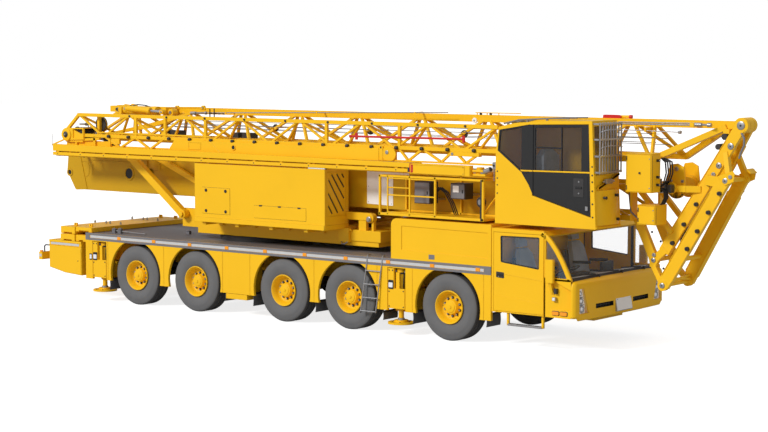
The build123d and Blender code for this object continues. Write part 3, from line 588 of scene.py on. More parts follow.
def ladder():
    """Hung-on ladder of zinc tube beside the second axle."""
    top, foot = Vector(LADDER_TOP), Vector(LADDER_FOOT)
    run = top - foot
    form = Form("silver", "dark")
    flip = Vector((1, -1, 1))
    for shift in (-LADDER_HALF, LADDER_HALF):
        side = Vector((shift, 0, 0))
        hook = [top + side + Vector((0, -0.075, 0.01)), top + side + Vector((0, -0.015, 0.012)), top + side]
        form.pipe([p * flip for p in (*hook, top + side - run * 0.08, foot + side)], 0.013, 10)
        tip = (foot + side) * flip
        form.use("dark").rod(tip, tip + Vector((0, 0, -0.02)), 0.016, 10)
        form.use("silver")
    for height in RUNGS:
        p = foot + run * ((height + 0.02) / run.z)
        for depth in (-0.016, 0.016):
            shift = Vector((LADDER_HALF, depth, 0))
            form.rod((p - shift) * flip, (p + Vector((LADDER_HALF, -depth, 0))) * flip, 0.009, 8)
        form.box((p - Vector((LADDER_HALF, 0.022, -0.006))) * flip, (p + Vector((LADDER_HALF, 0.022, 0.01))) * flip)
    form.done("ladder", "carrier", 0.0015, 1)


# station and height of each hanging mudflap, then its height
FLAPS = ((3.64, 0.54, 0.22), (2.02, 0.455, 0.22), (1.335, 0.4, 0.15), (-0.285, 0.455, 0.2),
         (-1.86, 0.48, 0.24), (-2.6, 0.48, 0.2), (-5.83, 0.47, 0.22))


def mudflaps():
    """Flexible flaps before and behind the wheels on their steel strips."""
    form = Form("mudflap", "dark")
    for x, top, drop in FLAPS:
        for way in (-1, 1):
            ring = []
            for k in range(7):
                t = k / 6
                ring.append((x + 0.012 * math.sin(math.pi * t), top - drop * t))
            outline = ring + [(u + 0.008, v) for u, v in reversed(ring)]
            form.use("mudflap").prism(outline, "y", way * 1.02, way * 1.45)
            form.use("dark").box((x - 0.008, way * 1.0, top - 0.012), (x + 0.02, way * 1.46, top + 0.022))
            for y in (1.08, 1.235, 1.39):
                form.rod((x + 0.015, way * y, top + 0.005), (x + 0.028, way * y, top + 0.005), 0.009, 6)
    form.done("mudflaps", "carrier", 0.002, 1)


def tie_rods():
    """Steering tie rods and the brake chambers on each axle."""
    form = Form("silver", "dark")
    for x in AXLES:
        form.use("dark").pin(x - 0.235, 0.522, -0.86, 0.86, 0.02, 10)
        for way in (-1, 1):
            form.use("dark").lathe([(0, 0.03), (0.01, 0.085), (0.1, 0.09), (0.12, 0.075), (0.125, 0.0)],
                                   (x + 0.1, way * 0.62, 0.8), (1, 0, 0), 20)
            form.use("silver").rod((x + 0.02, way * 0.62, 0.8), (x + 0.11, way * 0.62, 0.8), 0.012, 8)
    form.done("axle_rods", "carrier", 0.002, 1)


# ---------------------------------------------------------------- rear body
BODY_X = (-7.6, -6.62)
REAR_SIDE = [(BODY_X[0], 1.195), (BODY_X[0], 0.61), (-7.12, 0.52), (BODY_X[1], 0.49), (BODY_X[1], 1.195)]
BAR_X = (-7.982, -7.875)
BAR_Y = 1.45
TOW_R = 0.02


def nearest_start(outline, point):
    """The outline turned so that it starts at the corner nearest to a direction's point."""
    middle = Vector((sum(p[0] for p in outline), sum(p[1] for p in outline))) / len(outline)
    aim = (Vector(point) - middle).normalized()
    first = max(range(len(outline)), key=lambda i: (Vector(outline[i]) - middle).normalized().dot(aim))
    return outline[first:] + outline[:first]


def side_doors(form):
    """Doors on the body's two sides."""
    for way in (-1, 1):
        panel = [(-7.585, 0.615), (-7.12, 0.528), (-6.635, 0.5), (-6.635, 1.04), (-6.68, 1.075), (-7.585, 1.075)]
        form.use("yellow").prism(panel, "y", way * 1.48, way * 1.5)
        form.use("dark").pin(-6.72, 0.79, way * 1.499, way * 1.506, 0.012, 10)
        form.use("yellow").box((BODY_X[0], way * 1.48, 1.082), (BODY_X[1], way * HALF_W, 1.092))
        form.box((BODY_X[0], way * 1.48, 1.148), (BODY_X[1], way * HALF_W, 1.195))
        form.use("lightstrip").box((-7.55, way * 1.49, 1.096), (-6.69, way * 1.497, 1.144))


def back_doors(form):
    """Four doors across the body's rear."""
    for k in range(4):
        y0 = -1.47 + k * 0.74
        form.use("yellow").box((-7.607, y0, 0.63), (-7.59, y0 + 0.72, 1.18))
        form.use("black").box((-7.612, y0 + 0.31, 0.86), (-7.6, y0 + 0.41, 0.91))


def lamp_bar(form):
    """Lamp bar on its arms."""
    form.use("yellow").prism(rounded([(BAR_X[0], 0.74), (BAR_X[1], 0.74), (BAR_X[1], 0.9), (BAR_X[0], 0.9)],
                                     0.012, 2), "y", -BAR_Y, BAR_Y)
    for y in (-1.0, -0.33, 0.33, 1.0):
        form.box((-7.88, y - 0.06, 0.76), (-7.59, y + 0.06, 0.88))
    for way in (-1, 1):
        form.use("black").box((BAR_X[0] - 0.006, way * 0.92, 0.752), (BAR_X[0] + 0.02, way * 1.44, 0.888))
        for y, wide, finish in ((1.375, 0.11, "red"), (1.26, 0.1, "amber"), (1.15, 0.1, "red"), (1.04, 0.1, "lamp")):
            lens = rounded(rect(way * (y - wide / 2), 0.765, way * (y + wide / 2), 0.875), 0.015, 2)
            form.use(finish).prism(lens, "x", BAR_X[0] - 0.016, BAR_X[0])
        form.use("lightstrip").box((BAR_X[0] - 0.004, way * 0.3, 0.8), (BAR_X[0], way * 0.86, 0.85))
        form.use("lightstrip").box((BAR_X[0] + 0.015, way * 1.448, 0.8), (BAR_X[1] - 0.02, way * 1.455, 0.86))
        form.use("amber").box((BAR_X[0] + 0.02, way * 1.4, 0.905), (BAR_X[1] - 0.02, way * 1.445, 0.935))
        form.use("dark").pipe([(-7.9, way * 1.36, 0.895), (-7.9, way * 1.36, 1.02), (-7.86, way * 1.36, 1.05),
                               (-7.62, way * 1.36, 1.05)], 0.014, 8)
    form.use("white").box((BAR_X[0] - 0.012, -0.26, 0.752), (BAR_X[0], 0.26, 0.872))


def tow_jaw(form):
    """Jaw of the towing coupling, with the pin's bore left open."""
    form.use("dark").box((-7.61, -0.11, 0.56), (-7.59, 0.11, 0.73))
    bore = [(-7.68 + TOW_R * math.cos(t), TOW_R * math.sin(t)) for t in turns(24)]
    jaw = rounded(rect(-7.73, -0.11, -7.59, 0.11), 0.02, 5)
    jaw = nearest_start(jaw, bore[0])
    for z0, z1 in ((0.56, 0.62), (0.67, 0.73)):
        form.frame(jaw, bore, "z", z0, z1)


def rear_body():
    """Storage body with its doors, lamp bar, reflectors and the towing jaw."""
    form = Form("yellow", "black", "red", "amber", "lamp", "lightstrip", "dark", "white")
    form.prism(REAR_SIDE, "y", -1.492, 1.492)
    side_doors(form)
    back_doors(form)
    lamp_bar(form)
    tow_jaw(form)
    form.done("rear_storage", "carrier", 0.003, 2, ("rear_body",))


def ballast_trim():
    """Lifting lugs, clamp rods and screws on the ballast slabs and on the deck behind the ring."""
    form = Form("yellow", "silver", "dark", "grey")
    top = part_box("ballast_plates")[1][2]
    for way in (-1, 1):
        for x in (-7.028, -6.57):
            form.use("yellow").box((x - 0.045, way * 1.24, top - 0.004), (x + 0.045, way * 1.27, top + 0.055))
            form.use("dark").pin(x, top + 0.03, way * 1.235, way * 1.275, 0.014, 12)
        for x in (-7.2, -6.86, -6.74, -6.42):
            form.use("silver").post(x, way * 0.55, top, top + 0.035, 0.022, 6)
            form.post(x, way * 0.55, top + 0.035, top + 0.06, 0.012, 10)
    for x, y, height in ((-5.95, -1.18, 0.075), (-5.78, -1.18, 0.085), (-4.56, -0.42, 0.06)):
        z = DECK_TOP + height
        form.use("grey").lathe([(0, 0.05), (0.012, 0.05), (0.018, 0.04), (0.02, 0.0)], (x, y, z), (0, 0, 1), 16)
        form.use("silver").post(x, y, z + 0.01, z + 0.03, 0.014, 6)
    form.use("silver").rod((-5.95, -1.18, DECK_TOP + 0.05), (-5.05, -1.18, DECK_TOP + 0.03), 0.012, 10)
    for way in (-1, 1):
        for k in range(12):
            x = -6.25 + k * 0.66
            form.use("silver").post(x, way * 1.36, DECK_TOP - 0.002, DECK_TOP + 0.006, 0.011, 6)
    form.done("deck_fittings", "carrier", 0.0015, 1)


# ---------------------------------------------------------------- outrigger bays
OUTRIGGERS = (("rear", -6.07), ("front", 1.685))
JACK_Y = 1.35
COVER_BOLTS = ((-0.165, 0.53), (-0.165, 0.8), (0.16, 0.53), (0.16, 0.82), (-0.165, 1.19), (-0.085, 1.19))


def outrigger_cover(place, side, x):
    """Work lamp, bolts, hoses and the jack tube's collar on an outrigger's end cover."""
    way = way_of(side)
    face, hose_y = way * HALF_W, way * 1.4
    form = Form("black", "lamp", "silver", "dark")
    housing, lens = rect(x - 0.182, 0.845, x - 0.066, 1.01), rect(x - 0.17, 0.875, x - 0.078, 0.965)
    form.use("black").prism(rounded(housing, 0.012, 2), "y", face - way * 0.004, face + way * 0.008)
    form.use("lamp").prism(rounded(lens, 0.012, 2), "y", face, face + way * 0.016)
    for dx, z in COVER_BOLTS:
        form.use("dark").pin(x + dx, z, face, face + way * 0.008, 0.013, 6)
    for dx in (-0.105, -0.08, 0.115):
        form.use("black").pipe([(x + dx, hose_y, 1.15), (x + dx, way * 1.425, 1.05),
                                (x + dx * 0.95, way * 1.425, 0.93), (x + dx * 0.8, hose_y, 0.86)], 0.011, 8)
        form.use("silver").rod((x + dx, hose_y, 1.145), (x + dx, way * 1.395, 1.185), 0.014, 6)
    form.use("dark").lathe([(0, 0.081), (0.0, 0.088), (0.02, 0.09), (0.03, 0.088), (0.03, 0.081)],
                           (x, way * JACK_Y, 1.12), (0, 0, 1), 32, closed=False)
    form.use("silver").post(x, way * JACK_Y, 1.213, 1.228, 0.03, 6)
    form.done(f"outrigger_trim_{place}_{side}", f"outrigger_{place}_{side}", 0.0015, 1)


def jack_foot(place, side, x):
    """Bolts and collar on a jack's foot."""
    y = way_of(side) * JACK_Y
    form = Form("silver", "dark")
    for t in turns(6):
        px, py = x + 0.18 * math.cos(t), y + 0.18 * math.sin(t)
        form.use("dark").post(px, py, 0.238, 0.25, 0.014, 6)
    form.use("silver").lathe([(0, 0.05), (0, 0.066), (0.03, 0.064), (0.04, 0.052)], (x, y, 0.274), (0, 0, 1), 24,
                             closed=False)
    form.done(f"jack_foot_trim_{place}_{side}", f"jack_{place}_{side}", 0.0015, 1)


def rear_side_lamps():
    form = Form("black", "lamp")
    for way in (-1, 1):
        face = way * HALF_W
        form.use("black").box((-6.365, face - way * 0.004, 0.845), (-6.285, face + way * 0.006, 0.975))
        form.use("lamp").box((-6.353, face, 0.868), (-6.297, face + way * 0.012, 0.955))
    form.done("rear_side_lamps", "carrier", 0.002, 1)


def outrigger_trim():
    for place, x in OUTRIGGERS:
        for side in SIDES:
            outrigger_cover(place, side, x)
            jack_foot(place, side, x)
    rear_side_lamps()


# ---------------------------------------------------------------- hood
def hood_trim():
    """Blank plates beside the hood and the air slots on its top."""
    form = Form("grey", "black")
    for way in (-1, 1):
        form.use("grey").box((2.415, way * 1.49, 1.445), (2.545, way * 1.503, 1.53))
    for k in range(14):
        y = -0.52 + k * 0.08
        form.use("black").box((1.95, y - 0.022, HOOD_TOP - 0.002), (3.05, y + 0.022, HOOD_TOP + 0.003))
    form.done("hood_trim", "carrier", 0.001, 1)


# ---------------------------------------------------------------- driver's cab
CAB_REAR = 3.785
CAB_FLOOR = 0.622
CAB_ROOF = 2.09
CAB_SKIN = 1.498
CAB_WALL = 0.055
DOOR = (3.83, 4.865, 0.646, 2.019)
DOOR_WINDOW = [(3.975, 1.5), (4.77, 1.42), (4.775, 1.975), (3.968, 1.962)]
FLANK_END = 5.42
BELT = 1.285
# the windscreen's slope seen from the side, from the roof down to the cowl
PILLAR = [(4.85, 2.087), (4.945, 2.012), (5.03, 1.93), (5.15, 1.775), (5.258, 1.607), (5.345, 1.44), (5.42, 1.285)]
PILLAR_DEPTH = 0.07
# plan of the cab's corner, then the lamp and the grille as distances from the middle
NOSE_CORNER = [(5.42, 1.498), (5.452, 1.494), (5.48, 1.474), (5.498, 1.444), (5.507, 1.405)]
LAMP_OUT, LAMP_IN = 1.365, 1.095
SLOT_OUT, SLOT_IN = 0.88, 0.33
NOSE_COLUMNS = [LAMP_OUT, LAMP_IN, SLOT_OUT, 0.6, SLOT_IN, 0.0]
LAMP_LOW, LAMP_TOP = 0.7, 1.13
SLOT_LOW, SLOT_TOP = 0.755, 0.835
# height and how far the skin is set in there
NOSE_ROWS = [(0.622, 0.04), (0.634, 0.012), (0.655, 0.0), (LAMP_LOW, 0.0), (SLOT_LOW, 0.0), (SLOT_TOP, 0.0),
             (LAMP_TOP, 0.0), (1.175, 0.002), (1.215, 0.014), (1.245, 0.042), (1.262, 0.08), (1.275, 0.118)]


def nose_x(y):
    return 5.512 + 0.043 * (1 - (y / LAMP_OUT) ** 2)


def nose_plan():
    """Points round the cab's front from the right flank to the left, each with its outward direction."""
    half = NOSE_CORNER + [(nose_x(y), y) for y in NOSE_COLUMNS]
    line = [(x, -y) for x, y in half] + [(x, y) for x, y in reversed(half[:-1])]
    plan = []
    for i, (x, y) in enumerate(line):
        back, ahead = line[max(0, i - 1)], line[min(len(line) - 1, i + 1)]
        along = Vector((ahead[0] - back[0], ahead[1] - back[1])).normalized()
        plan.append((x, y, along.y, -along.x))
    return plan


def nose(form):
    """The bowed front skin with openings for the lamps and the two grille slots."""
    plan = nose_plan()
    rows = []
    for k, (z, inset) in enumerate(NOSE_ROWS):
        drop = (0.045, 0.045, 0.03)[k] if k < 3 else 0.0
        rows.append([form.bm.verts.new((x - nx * inset, y - ny * inset, z - (drop if abs(y) < 1.4 else 0)))
                     for x, y, nx, ny in plan])
    for k, (low, high) in enumerate(zip(rows, rows[1:])):
        z = (NOSE_ROWS[k][0] + NOSE_ROWS[k + 1][0]) / 2
        for i in range(len(plan) - 1):
            y = abs(plan[i][1] + plan[i + 1][1]) / 2
            lamp = LAMP_IN < y < LAMP_OUT and LAMP_LOW < z < LAMP_TOP
            slot = SLOT_IN < y < SLOT_OUT and SLOT_LOW < z < SLOT_TOP
            if not (lamp or slot):
                form.face((low[i], low[i + 1], high[i + 1], high[i]))


def pocket(form, corners, depth):
    """Walls and floor of an opening in the front skin. corners are (y, z) going round it."""
    front = [(nose_x(y), y, z) for y, z in corners]
    rear = [(x - depth, y, z) for x, y, z in front]
    a = [form.bm.verts.new(p) for p in front]
    b = [form.bm.verts.new(p) for p in rear]
    for i in range(len(a)):
        j = (i + 1) % len(a)
        form.face((a[i], a[j], b[j], b[i]))
    form.face(b)


LAMP_FACE = [(LAMP_OUT, LAMP_LOW), (LAMP_OUT, LAMP_TOP), (1.235, LAMP_TOP), (LAMP_IN, LAMP_LOW)]
LAMP_DEPTH = 0.055
SLOT_FACE = [(SLOT_OUT, SLOT_LOW), (SLOT_OUT, SLOT_TOP), (SLOT_IN, SLOT_TOP), (SLOT_IN, SLOT_LOW)]
SLOT_DEPTH = 0.09


def scoop(form, way):
    """Hollow in the flank ahead of the door: it deepens forwards to a step."""
    y0, y1 = way * CAB_SKIN, way * (CAB_SKIN - 0.085)
    rear_top, rear_low = (4.985, y0, 1.285), (4.985, y0, 0.76)
    top, low = (FLANK_END, y0, 1.105), (FLANK_END, y0, 0.76)
    deep_top, deep_low = (FLANK_END, y1, 1.105), (FLANK_END, y1, 0.76)
    point = {key: form.bm.verts.new(p) for key, p in {
        "rt": rear_top, "rl": rear_low, "t": top, "l": low, "dt": deep_top, "dl": deep_low,
        "ct": (FLANK_END, y0, BELT), "bl": (FLANK_END, y0, CAB_FLOOR), "br": (4.878, y0, CAB_FLOOR),
        "bt": (4.878, y0, BELT), "bm": (4.878, y0, 0.76),
    }.items()}
    for keys in (("rt", "rl", "dl", "dt"), ("t", "dt", "dl", "l"), ("rt", "dt", "t"), ("rl", "l", "dl"),
                 ("rt", "t", "ct"), ("bt", "bm", "rl", "rt"), ("bm", "br", "bl", "l", "rl")):
        form.face([point[key] for key in keys])


def flank(form, way):
    """Posts, sill and roof rail round the door, and the thin curved windscreen post."""
    inner, outer = way * (CAB_SKIN - CAB_WALL), way * CAB_SKIN
    rear, front, low, top = DOOR
    form.use("yellow")
    form.box((CAB_REAR, inner, CAB_FLOOR), (rear - 0.005, outer, CAB_ROOF))
    form.box((rear - 0.005, inner, CAB_FLOOR), (front + 0.008, outer, low - 0.004))
    form.prism([(rear - 0.005, top + 0.005), (front + 0.008, top + 0.005), (front + 0.008, 2.084),
                (rear - 0.005, CAB_ROOF)], "y", inner, outer)
    form.box((front + 0.013, inner, CAB_FLOOR), (4.905, outer, 2.045))
    form.box((4.88, inner, BELT - 0.03), (FLANK_END, outer, BELT + 0.014))
    rings = []
    for i, (x, z) in enumerate(PILLAR):
        back, ahead = PILLAR[max(0, i - 1)], PILLAR[min(len(PILLAR) - 1, i + 1)]
        along = Vector((ahead[0] - back[0], ahead[1] - back[1])).normalized()
        depth = PILLAR_DEPTH * (1.35 if i == 0 else 1.0)
        u, w = x + along.y * depth, z - along.x * depth
        rings.append([(x, outer - way * 0.014, z), (x, inner, z), (u, inner, w), (u, outer, w),
                      (x - (x - u) * 0.3, outer, z - (z - w) * 0.3)])
    form.hull(rings)
    scoop(form, way)
    form.use("black").box((rear - 0.03, way * 1.425, low - 0.03), (rear + 0.02, way * 1.44, top + 0.02))
    form.box((front - 0.02, way * 1.425, low - 0.03), (front + 0.03, way * 1.44, top + 0.02))
    form.box((rear, way * 1.425, low - 0.03), (front, way * 1.44, low + 0.02))
    form.box((rear, way * 1.425, top - 0.02), (front, way * 1.44, top + 0.02))


def cab_body():
    """Driver's cab: flanks, roof, rear wall, floor and the bowed front."""
    form = Form("yellow", "black", "dark")
    for side in SIDES:
        flank(form, way_of(side))
    form.use("yellow").prism([(CAB_REAR, 2.04), (4.8, 2.034), (4.895, 1.975), (4.945, 2.012), (4.85, 2.087),
                              (4.76, CAB_ROOF), (CAB_REAR, CAB_ROOF)], "y", -1.445, 1.445)
    form.box((CAB_REAR, -1.445, CAB_FLOOR), (3.835, 1.445, 2.045))
    for z in (1.18, 1.52, 1.84):
        form.box((3.834, -1.4, z), (3.842, 1.4, z + 0.012))
    nose(form)
    for way in (-1, 1):
        pocket(form.use("black"), [(way * y, z) for y, z in SLOT_FACE], SLOT_DEPTH)
        pocket(form.use("yellow"), [(way * y, z) for y, z in LAMP_FACE], LAMP_DEPTH)
        corner = [(way * LAMP_FACE[2][0], LAMP_TOP), (way * LAMP_IN, LAMP_TOP), (way * LAMP_IN, LAMP_LOW)]
        form.face([form.bm.verts.new((nose_x(y), y, z)) for y, z in corner])
    # cowl below the windscreen
    form.use("dark").prism([(5.345, 1.255), (5.435, 1.262), (5.425, 1.292), (5.385, 1.31), (5.345, 1.3)],
                           "y", -1.44, 1.44)
    form.box((CAB_REAR, -1.44, CAB_FLOOR), (5.4, 1.44, 0.655))
    form.done("cab_body", "carrier", 0.006, 2, ("cab_shell",), 25)


def cab_door(side):
    """Door with its window in a black seal, a handle and two pressed lines."""
    way = way_of(side)
    rear, front, low, top = DOOR
    outer = rounded(rect(rear, low, front, top), 0.012, 4)
    hole = rounded(DOOR_WINDOW, 0.03, 4)
    inner_seal = rounded(grown(DOOR_WINDOW, -0.018), 0.02, 4)
    form = Form("yellow", "black", "glass", "dark", "silver")
    form.use("yellow").frame(outer, hole, "y", way * 1.446, way * CAB_SKIN)
    form.use("black").frame(hole, inner_seal, "y", way * 1.462, way * (CAB_SKIN - 0.004))
    form.use("glass").prism(inner_seal, "y", way * 1.478, way * 1.483)
    form.use("yellow").prism([(3.87, 1.322), (4.84, 1.236), (4.84, 1.222), (3.87, 1.308)], "y",
                             way * 1.497, way * 1.5005)
    form.prism([(3.85, 0.922), (4.845, 0.842), (4.845, 0.834), (3.85, 0.914)], "y", way * 1.497, way * 1.5)
    form.use("dark").prism(rounded([(3.882, 1.232), (4.048, 1.22), (4.048, 1.322), (3.882, 1.334)], 0.015, 4), "y",
                           way * 1.496, way * 1.502)
    form.use("black").box((3.9, way * 1.5, 1.262), (4.034, way * 1.512, 1.292))
    form.use("silver").pin(3.935, 1.247, way * 1.499, way * 1.506, 0.011, 12)
    form.done(f"cab_door_{side}", f"door_{side}", 0.002, 1, (f"door_{side}",))


def quarter_glass():
    """Fixed panes ahead of the doors."""
    inner = [(x - 0.05, z - 0.045) for x, z in PILLAR]
    outline = [(4.9, BELT)] + [(max(x, 4.905), z) for x, z in reversed(inner)]
    form = Form("glass")
    for side in SIDES:
        way = way_of(side)
        form.prism(outline, "y", way * 1.466, way * 1.471)
    form.done("quarter_glass", "carrier", 0.0)


LENS_X = 5.47
LENSES = ((1.045, 1.3, 0.04), (0.915, 1.27, 0.052), (0.775, 1.245, 0.06))  # height, y, radius


def headlamps():
    """Upright lamps: bright housing, three lenses behind a clear cover."""
    form = Form("lamp", "silver", "black", "clear")
    for way in (-1, 1):
        face = [(way * y, z) for y, z in LAMP_FACE]
        form.use("lamp").prism(face, "x", 5.462, LENS_X)
        for z, y, radius in LENSES:
            centre, rim = (LENS_X, way * y, z), radius * 1.15
            form.use("silver").lathe([(0.0, rim), (0.02, rim), (0.02, radius), (0.006, radius * 0.6)],
                                     centre, (1, 0, 0), 24)
            form.use("lamp").lathe([(0.006, radius * 0.6), (0.018, radius * 0.45), (0.022, 0.001)],
                                   centre, (1, 0, 0), 20)
        form.use("black").box((5.472, way * (LAMP_OUT - 0.03), 0.975), (5.482, way * 1.205, 0.984))
        form.box((5.472, way * (LAMP_OUT - 0.03), 0.842), (5.482, way * 1.165, 0.85))
        form.use("clear").prism(grown(face, -0.004), "x", 5.508, 5.511)
    form.done("headlamps", "carrier", 0.0015, 1)


def grille():
    """Bars in the two slots of the cab's front."""
    form = Form("dark", "black")
    for way in (-1, 1):
        for k in range(5):
            y = way * (SLOT_IN + (SLOT_OUT - SLOT_IN) * (k + 1) / 6)
            x = nose_x(y)
            form.use("dark").box((x - 0.045, y - 0.008, SLOT_LOW + 0.002), (x - 0.03, y + 0.008, SLOT_TOP - 0.002))
        x = nose_x(0.6)
        form.use("black").box((x - 0.04, way * (SLOT_IN + 0.004), 0.79), (x - 0.026, way * (SLOT_OUT - 0.004), 0.799))
    form.done("grille_bars", "carrier", 0.001, 1)


def number_plate():
    """Blank plate on its carrier, left bare."""
    form = Form("white", "silver", "dark")
    form.use("silver").prism([(5.545, 0.636), (5.59, 0.64), (5.548, 0.874), (5.535, 0.878)], "y", -0.262, 0.262)
    form.use("white").prism([(5.586, 0.652), (5.592, 0.652), (5.556, 0.862), (5.548, 0.862)], "y", -0.25, 0.25)
    for way in (-1, 1):
        form.use("dark").rod((5.566, way * 0.225, 0.845), (5.572, way * 0.225, 0.845), 0.008, 10)
    form.done("front_plate", "carrier", 0.003, 1)


def wipers():
    """Three wipers parked along the windscreen's base."""
    form = Form("black", "dark")
    for y in (-0.62, 0.14, 0.9):
        form.use("dark").rod((5.44, y, 1.262), (5.428, y, 1.318), 0.02, 12)
        form.use("black").pipe([(5.432, y, 1.308), (5.42, y - 0.18, 1.318), (5.405, y - 0.5, 1.345)], 0.008, 8)
        form.bar((5.412, y - 0.08, 1.322), (5.396, y - 0.72, 1.356), 0.012, 0.022)
    form.done("wipers", "carrier", 0.001, 1)


def cab_lamps():
    """Amber flank lamps and the two small lamps under each mirror."""
    form = Form("amber", "dark", "silver", "lamp")
    for way in (-1, 1):
        for x0, x1 in ((5.05, 5.187), (5.212, 5.352)):
            y = way * CAB_SKIN
            lens = rect(x0, 0.668, x1, 0.732)
            form.use("amber").prism(rounded(lens, 0.024, 4), "y", way * 1.494, y + way * 0.022)
            form.use("dark").prism(rounded(grown(lens, 0.01), 0.03, 4), "y", way * 1.492, y + way * 0.004)
        form.use("dark").box((5.095, way * 1.47, 1.035), (5.15, way * 1.53, 1.125))
        form.use("silver").box((5.062, way * 1.48, 0.912), (5.128, way * 1.535, 0.974))
        form.use("lamp").box((5.07, way * 1.53, 0.92), (5.12, way * 1.54, 0.966))
    form.done("cab_lamps", "carrier", 0.004, 2)


def step_treads():
    """Zinc treads on the entry steps, with a row of raised studs."""
    form = Form("silver", "dark")
    for way in (-1, 1):
        form.use("silver").box((4.112, way * 1.392, 0.398), (4.818, way * 1.48, 0.434))
        for k in range(14):
            x = 4.15 + 0.048 * k
            form.use("dark").post(x, way * 1.436, 0.433, 0.44, 0.01, 8)
    form.done("step_treads", "carrier", 0.003, 1)


def seat(form, centre_x, centre_y, base, scale=1.0):
    """Sprung seat: plinth, cushion, tapered back, head rest and arm rests. centre is the cushion's middle."""
    def at(x, y, z):
        return (centre_x + x * scale, centre_y + y * scale, base + z * scale)

    def section(x0, x1, half, z):
        return [at(x0, -half, z), at(x1, -half, z), at(x1, half, z), at(x0, half, z)]
    form.use("black").box(at(-0.17, -0.17, 0), at(0.17, 0.17, 0.26))
    form.use("seat").box(at(-0.24, -0.22, 0.27), at(0.26, 0.22, 0.4))
    for way in (-1, 1):
        form.use("black").box(at(-0.22, way * 0.22, 0.26), at(0.24, way * 0.27, 0.43))
        form.bar(at(-0.2, way * 0.28, 0.6), at(0.16, way * 0.28, 0.62), 0.05 * scale, 0.05 * scale)
    form.use("seat").hull([section(-0.28, -0.16, 0.22, 0.38), section(-0.33, -0.22, 0.23, 0.62),
                           section(-0.38, -0.28, 0.2, 0.86), section(-0.41, -0.33, 0.13, 0.95)])
    form.use("black").hull([section(-0.34, -0.285, 0.24, 0.4), section(-0.42, -0.355, 0.24, 0.8)])
    form.use("seat").hull([section(-0.42, -0.33, 0.11, 0.985), section(-0.44, -0.35, 0.12, 1.08),
                           section(-0.45, -0.38, 0.09, 1.15)])
    for y in (-0.05, 0.05):
        form.use("silver").rod(at(-0.375, y, 0.93), at(-0.39, y, 1.02), 0.008, 8)


def cab_seats():
    form = Form("seat", "black", "silver")
    for y in (-0.85, 0.85):
        seat(form, 4.36, y, 0.72, 1.02)
    form.done("cab_seats", "carrier", 0.018, 3, ("cab_interior",))


DASH = [(5.03, 1.02), (5.33, 1.01), (5.385, 1.15), (5.36, 1.235), (5.2, 1.285), (5.06, 1.27)]


def steering_wheel(form, column=Vector((5.06, -0.85, 1.13)), lean=Vector((-0.45, 0, 0.89))):
    centre = column + lean * 0.26
    form.use("black").rod(column, centre, 0.03, 12)
    axis = lean.normalized()
    u = axis.orthogonal().normalized()
    v = axis.cross(u)
    ring = [(0.01 * math.cos(t), 0.215 + 0.016 * math.sin(t)) for t in turns(8)]
    spokes = [u * math.cos(t) + v * math.sin(t) for t in turns(36)]
    form.hull([[centre + axis * a + out * r for a, r in ring] for out in spokes], closed_ends=False, loop=True)
    for t in turns(3):
        form.rod(centre, centre + (u * math.cos(t + 0.5) + v * math.sin(t + 0.5)) * 0.21, 0.012, 8)
    form.lathe([(-0.02, 0.055), (0.015, 0.05), (0.022, 0.001)], centre, tuple(axis), 20)


def dashboard():
    """Dashboard with hooded dials, round vents, a screen and the steering wheel."""
    form = Form("dash", "black", "dark")
    form.use("dash").prism(DASH, "y", -1.4, 1.4)
    form.prism([(4.985, 0.7), (5.16, 0.7), (5.16, 1.05), (5.02, 1.06)], "y", -0.42, 0.3)
    form.use("black").prism([(5.0, 1.19), (5.13, 1.2), (5.19, 1.33), (5.05, 1.345), (4.985, 1.29)], "y", -1.18, -0.52)
    form.use("dark").box((5.03, 0.05, 1.27), (5.09, 0.42, 1.44))
    form.use("black").box((5.022, 0.062, 1.285), (5.031, 0.408, 1.428))
    for y in (-1.3, -0.4, 0.52, 0.98, 1.29):
        form.use("black").lathe([(0.0, 0.072), (0.02, 0.072), (0.02, 0.052), (0.008, 0.048)], (5.215, y, 1.262),
                                (0.1, 0, 1), 24)
    steering_wheel(form)
    form.done("dashboard", "carrier", 0.008, 2)


def cab():
    cab_body()
    for side in SIDES:
        cab_door(side)
    quarter_glass()
    headlamps()
    grille()
    number_plate()
    wipers()
    cab_lamps()
    step_treads()
    cab_seats()
    dashboard()


# ---------------------------------------------------------------- power housings
HOUSING = (-3.338, -0.002, 1.893, 2.958)
SERVICE_PANEL = rect(-3.14, 1.985, -2.4, 2.495)
FLAP = rect(-1.77, 1.965, -0.46, 2.205)
# slanted louvres in the front face, (y, z) to (y, z)
LOUVRES = [
    ((1.005, 2.858), (0.944, 2.78)), ((1.155, 2.858), (0.944, 2.6)), ((1.303, 2.855), (0.944, 2.39)),
    ((1.392, 2.76), (0.96, 2.15)), ((1.4, 2.502), (1.128, 2.128)), ((1.4, 2.27), (1.29, 2.117)),
]


def bolt_head(form, x, y, z, way, radius=0.018, height=0.012):
    """A hexagon head on a washer, pointing sideways."""
    form.pin(x, z, y, y + way * height * 0.35, radius * 1.35, 16)
    form.pin(x, z, y + way * height * 0.3, y + way * height, radius, 6)


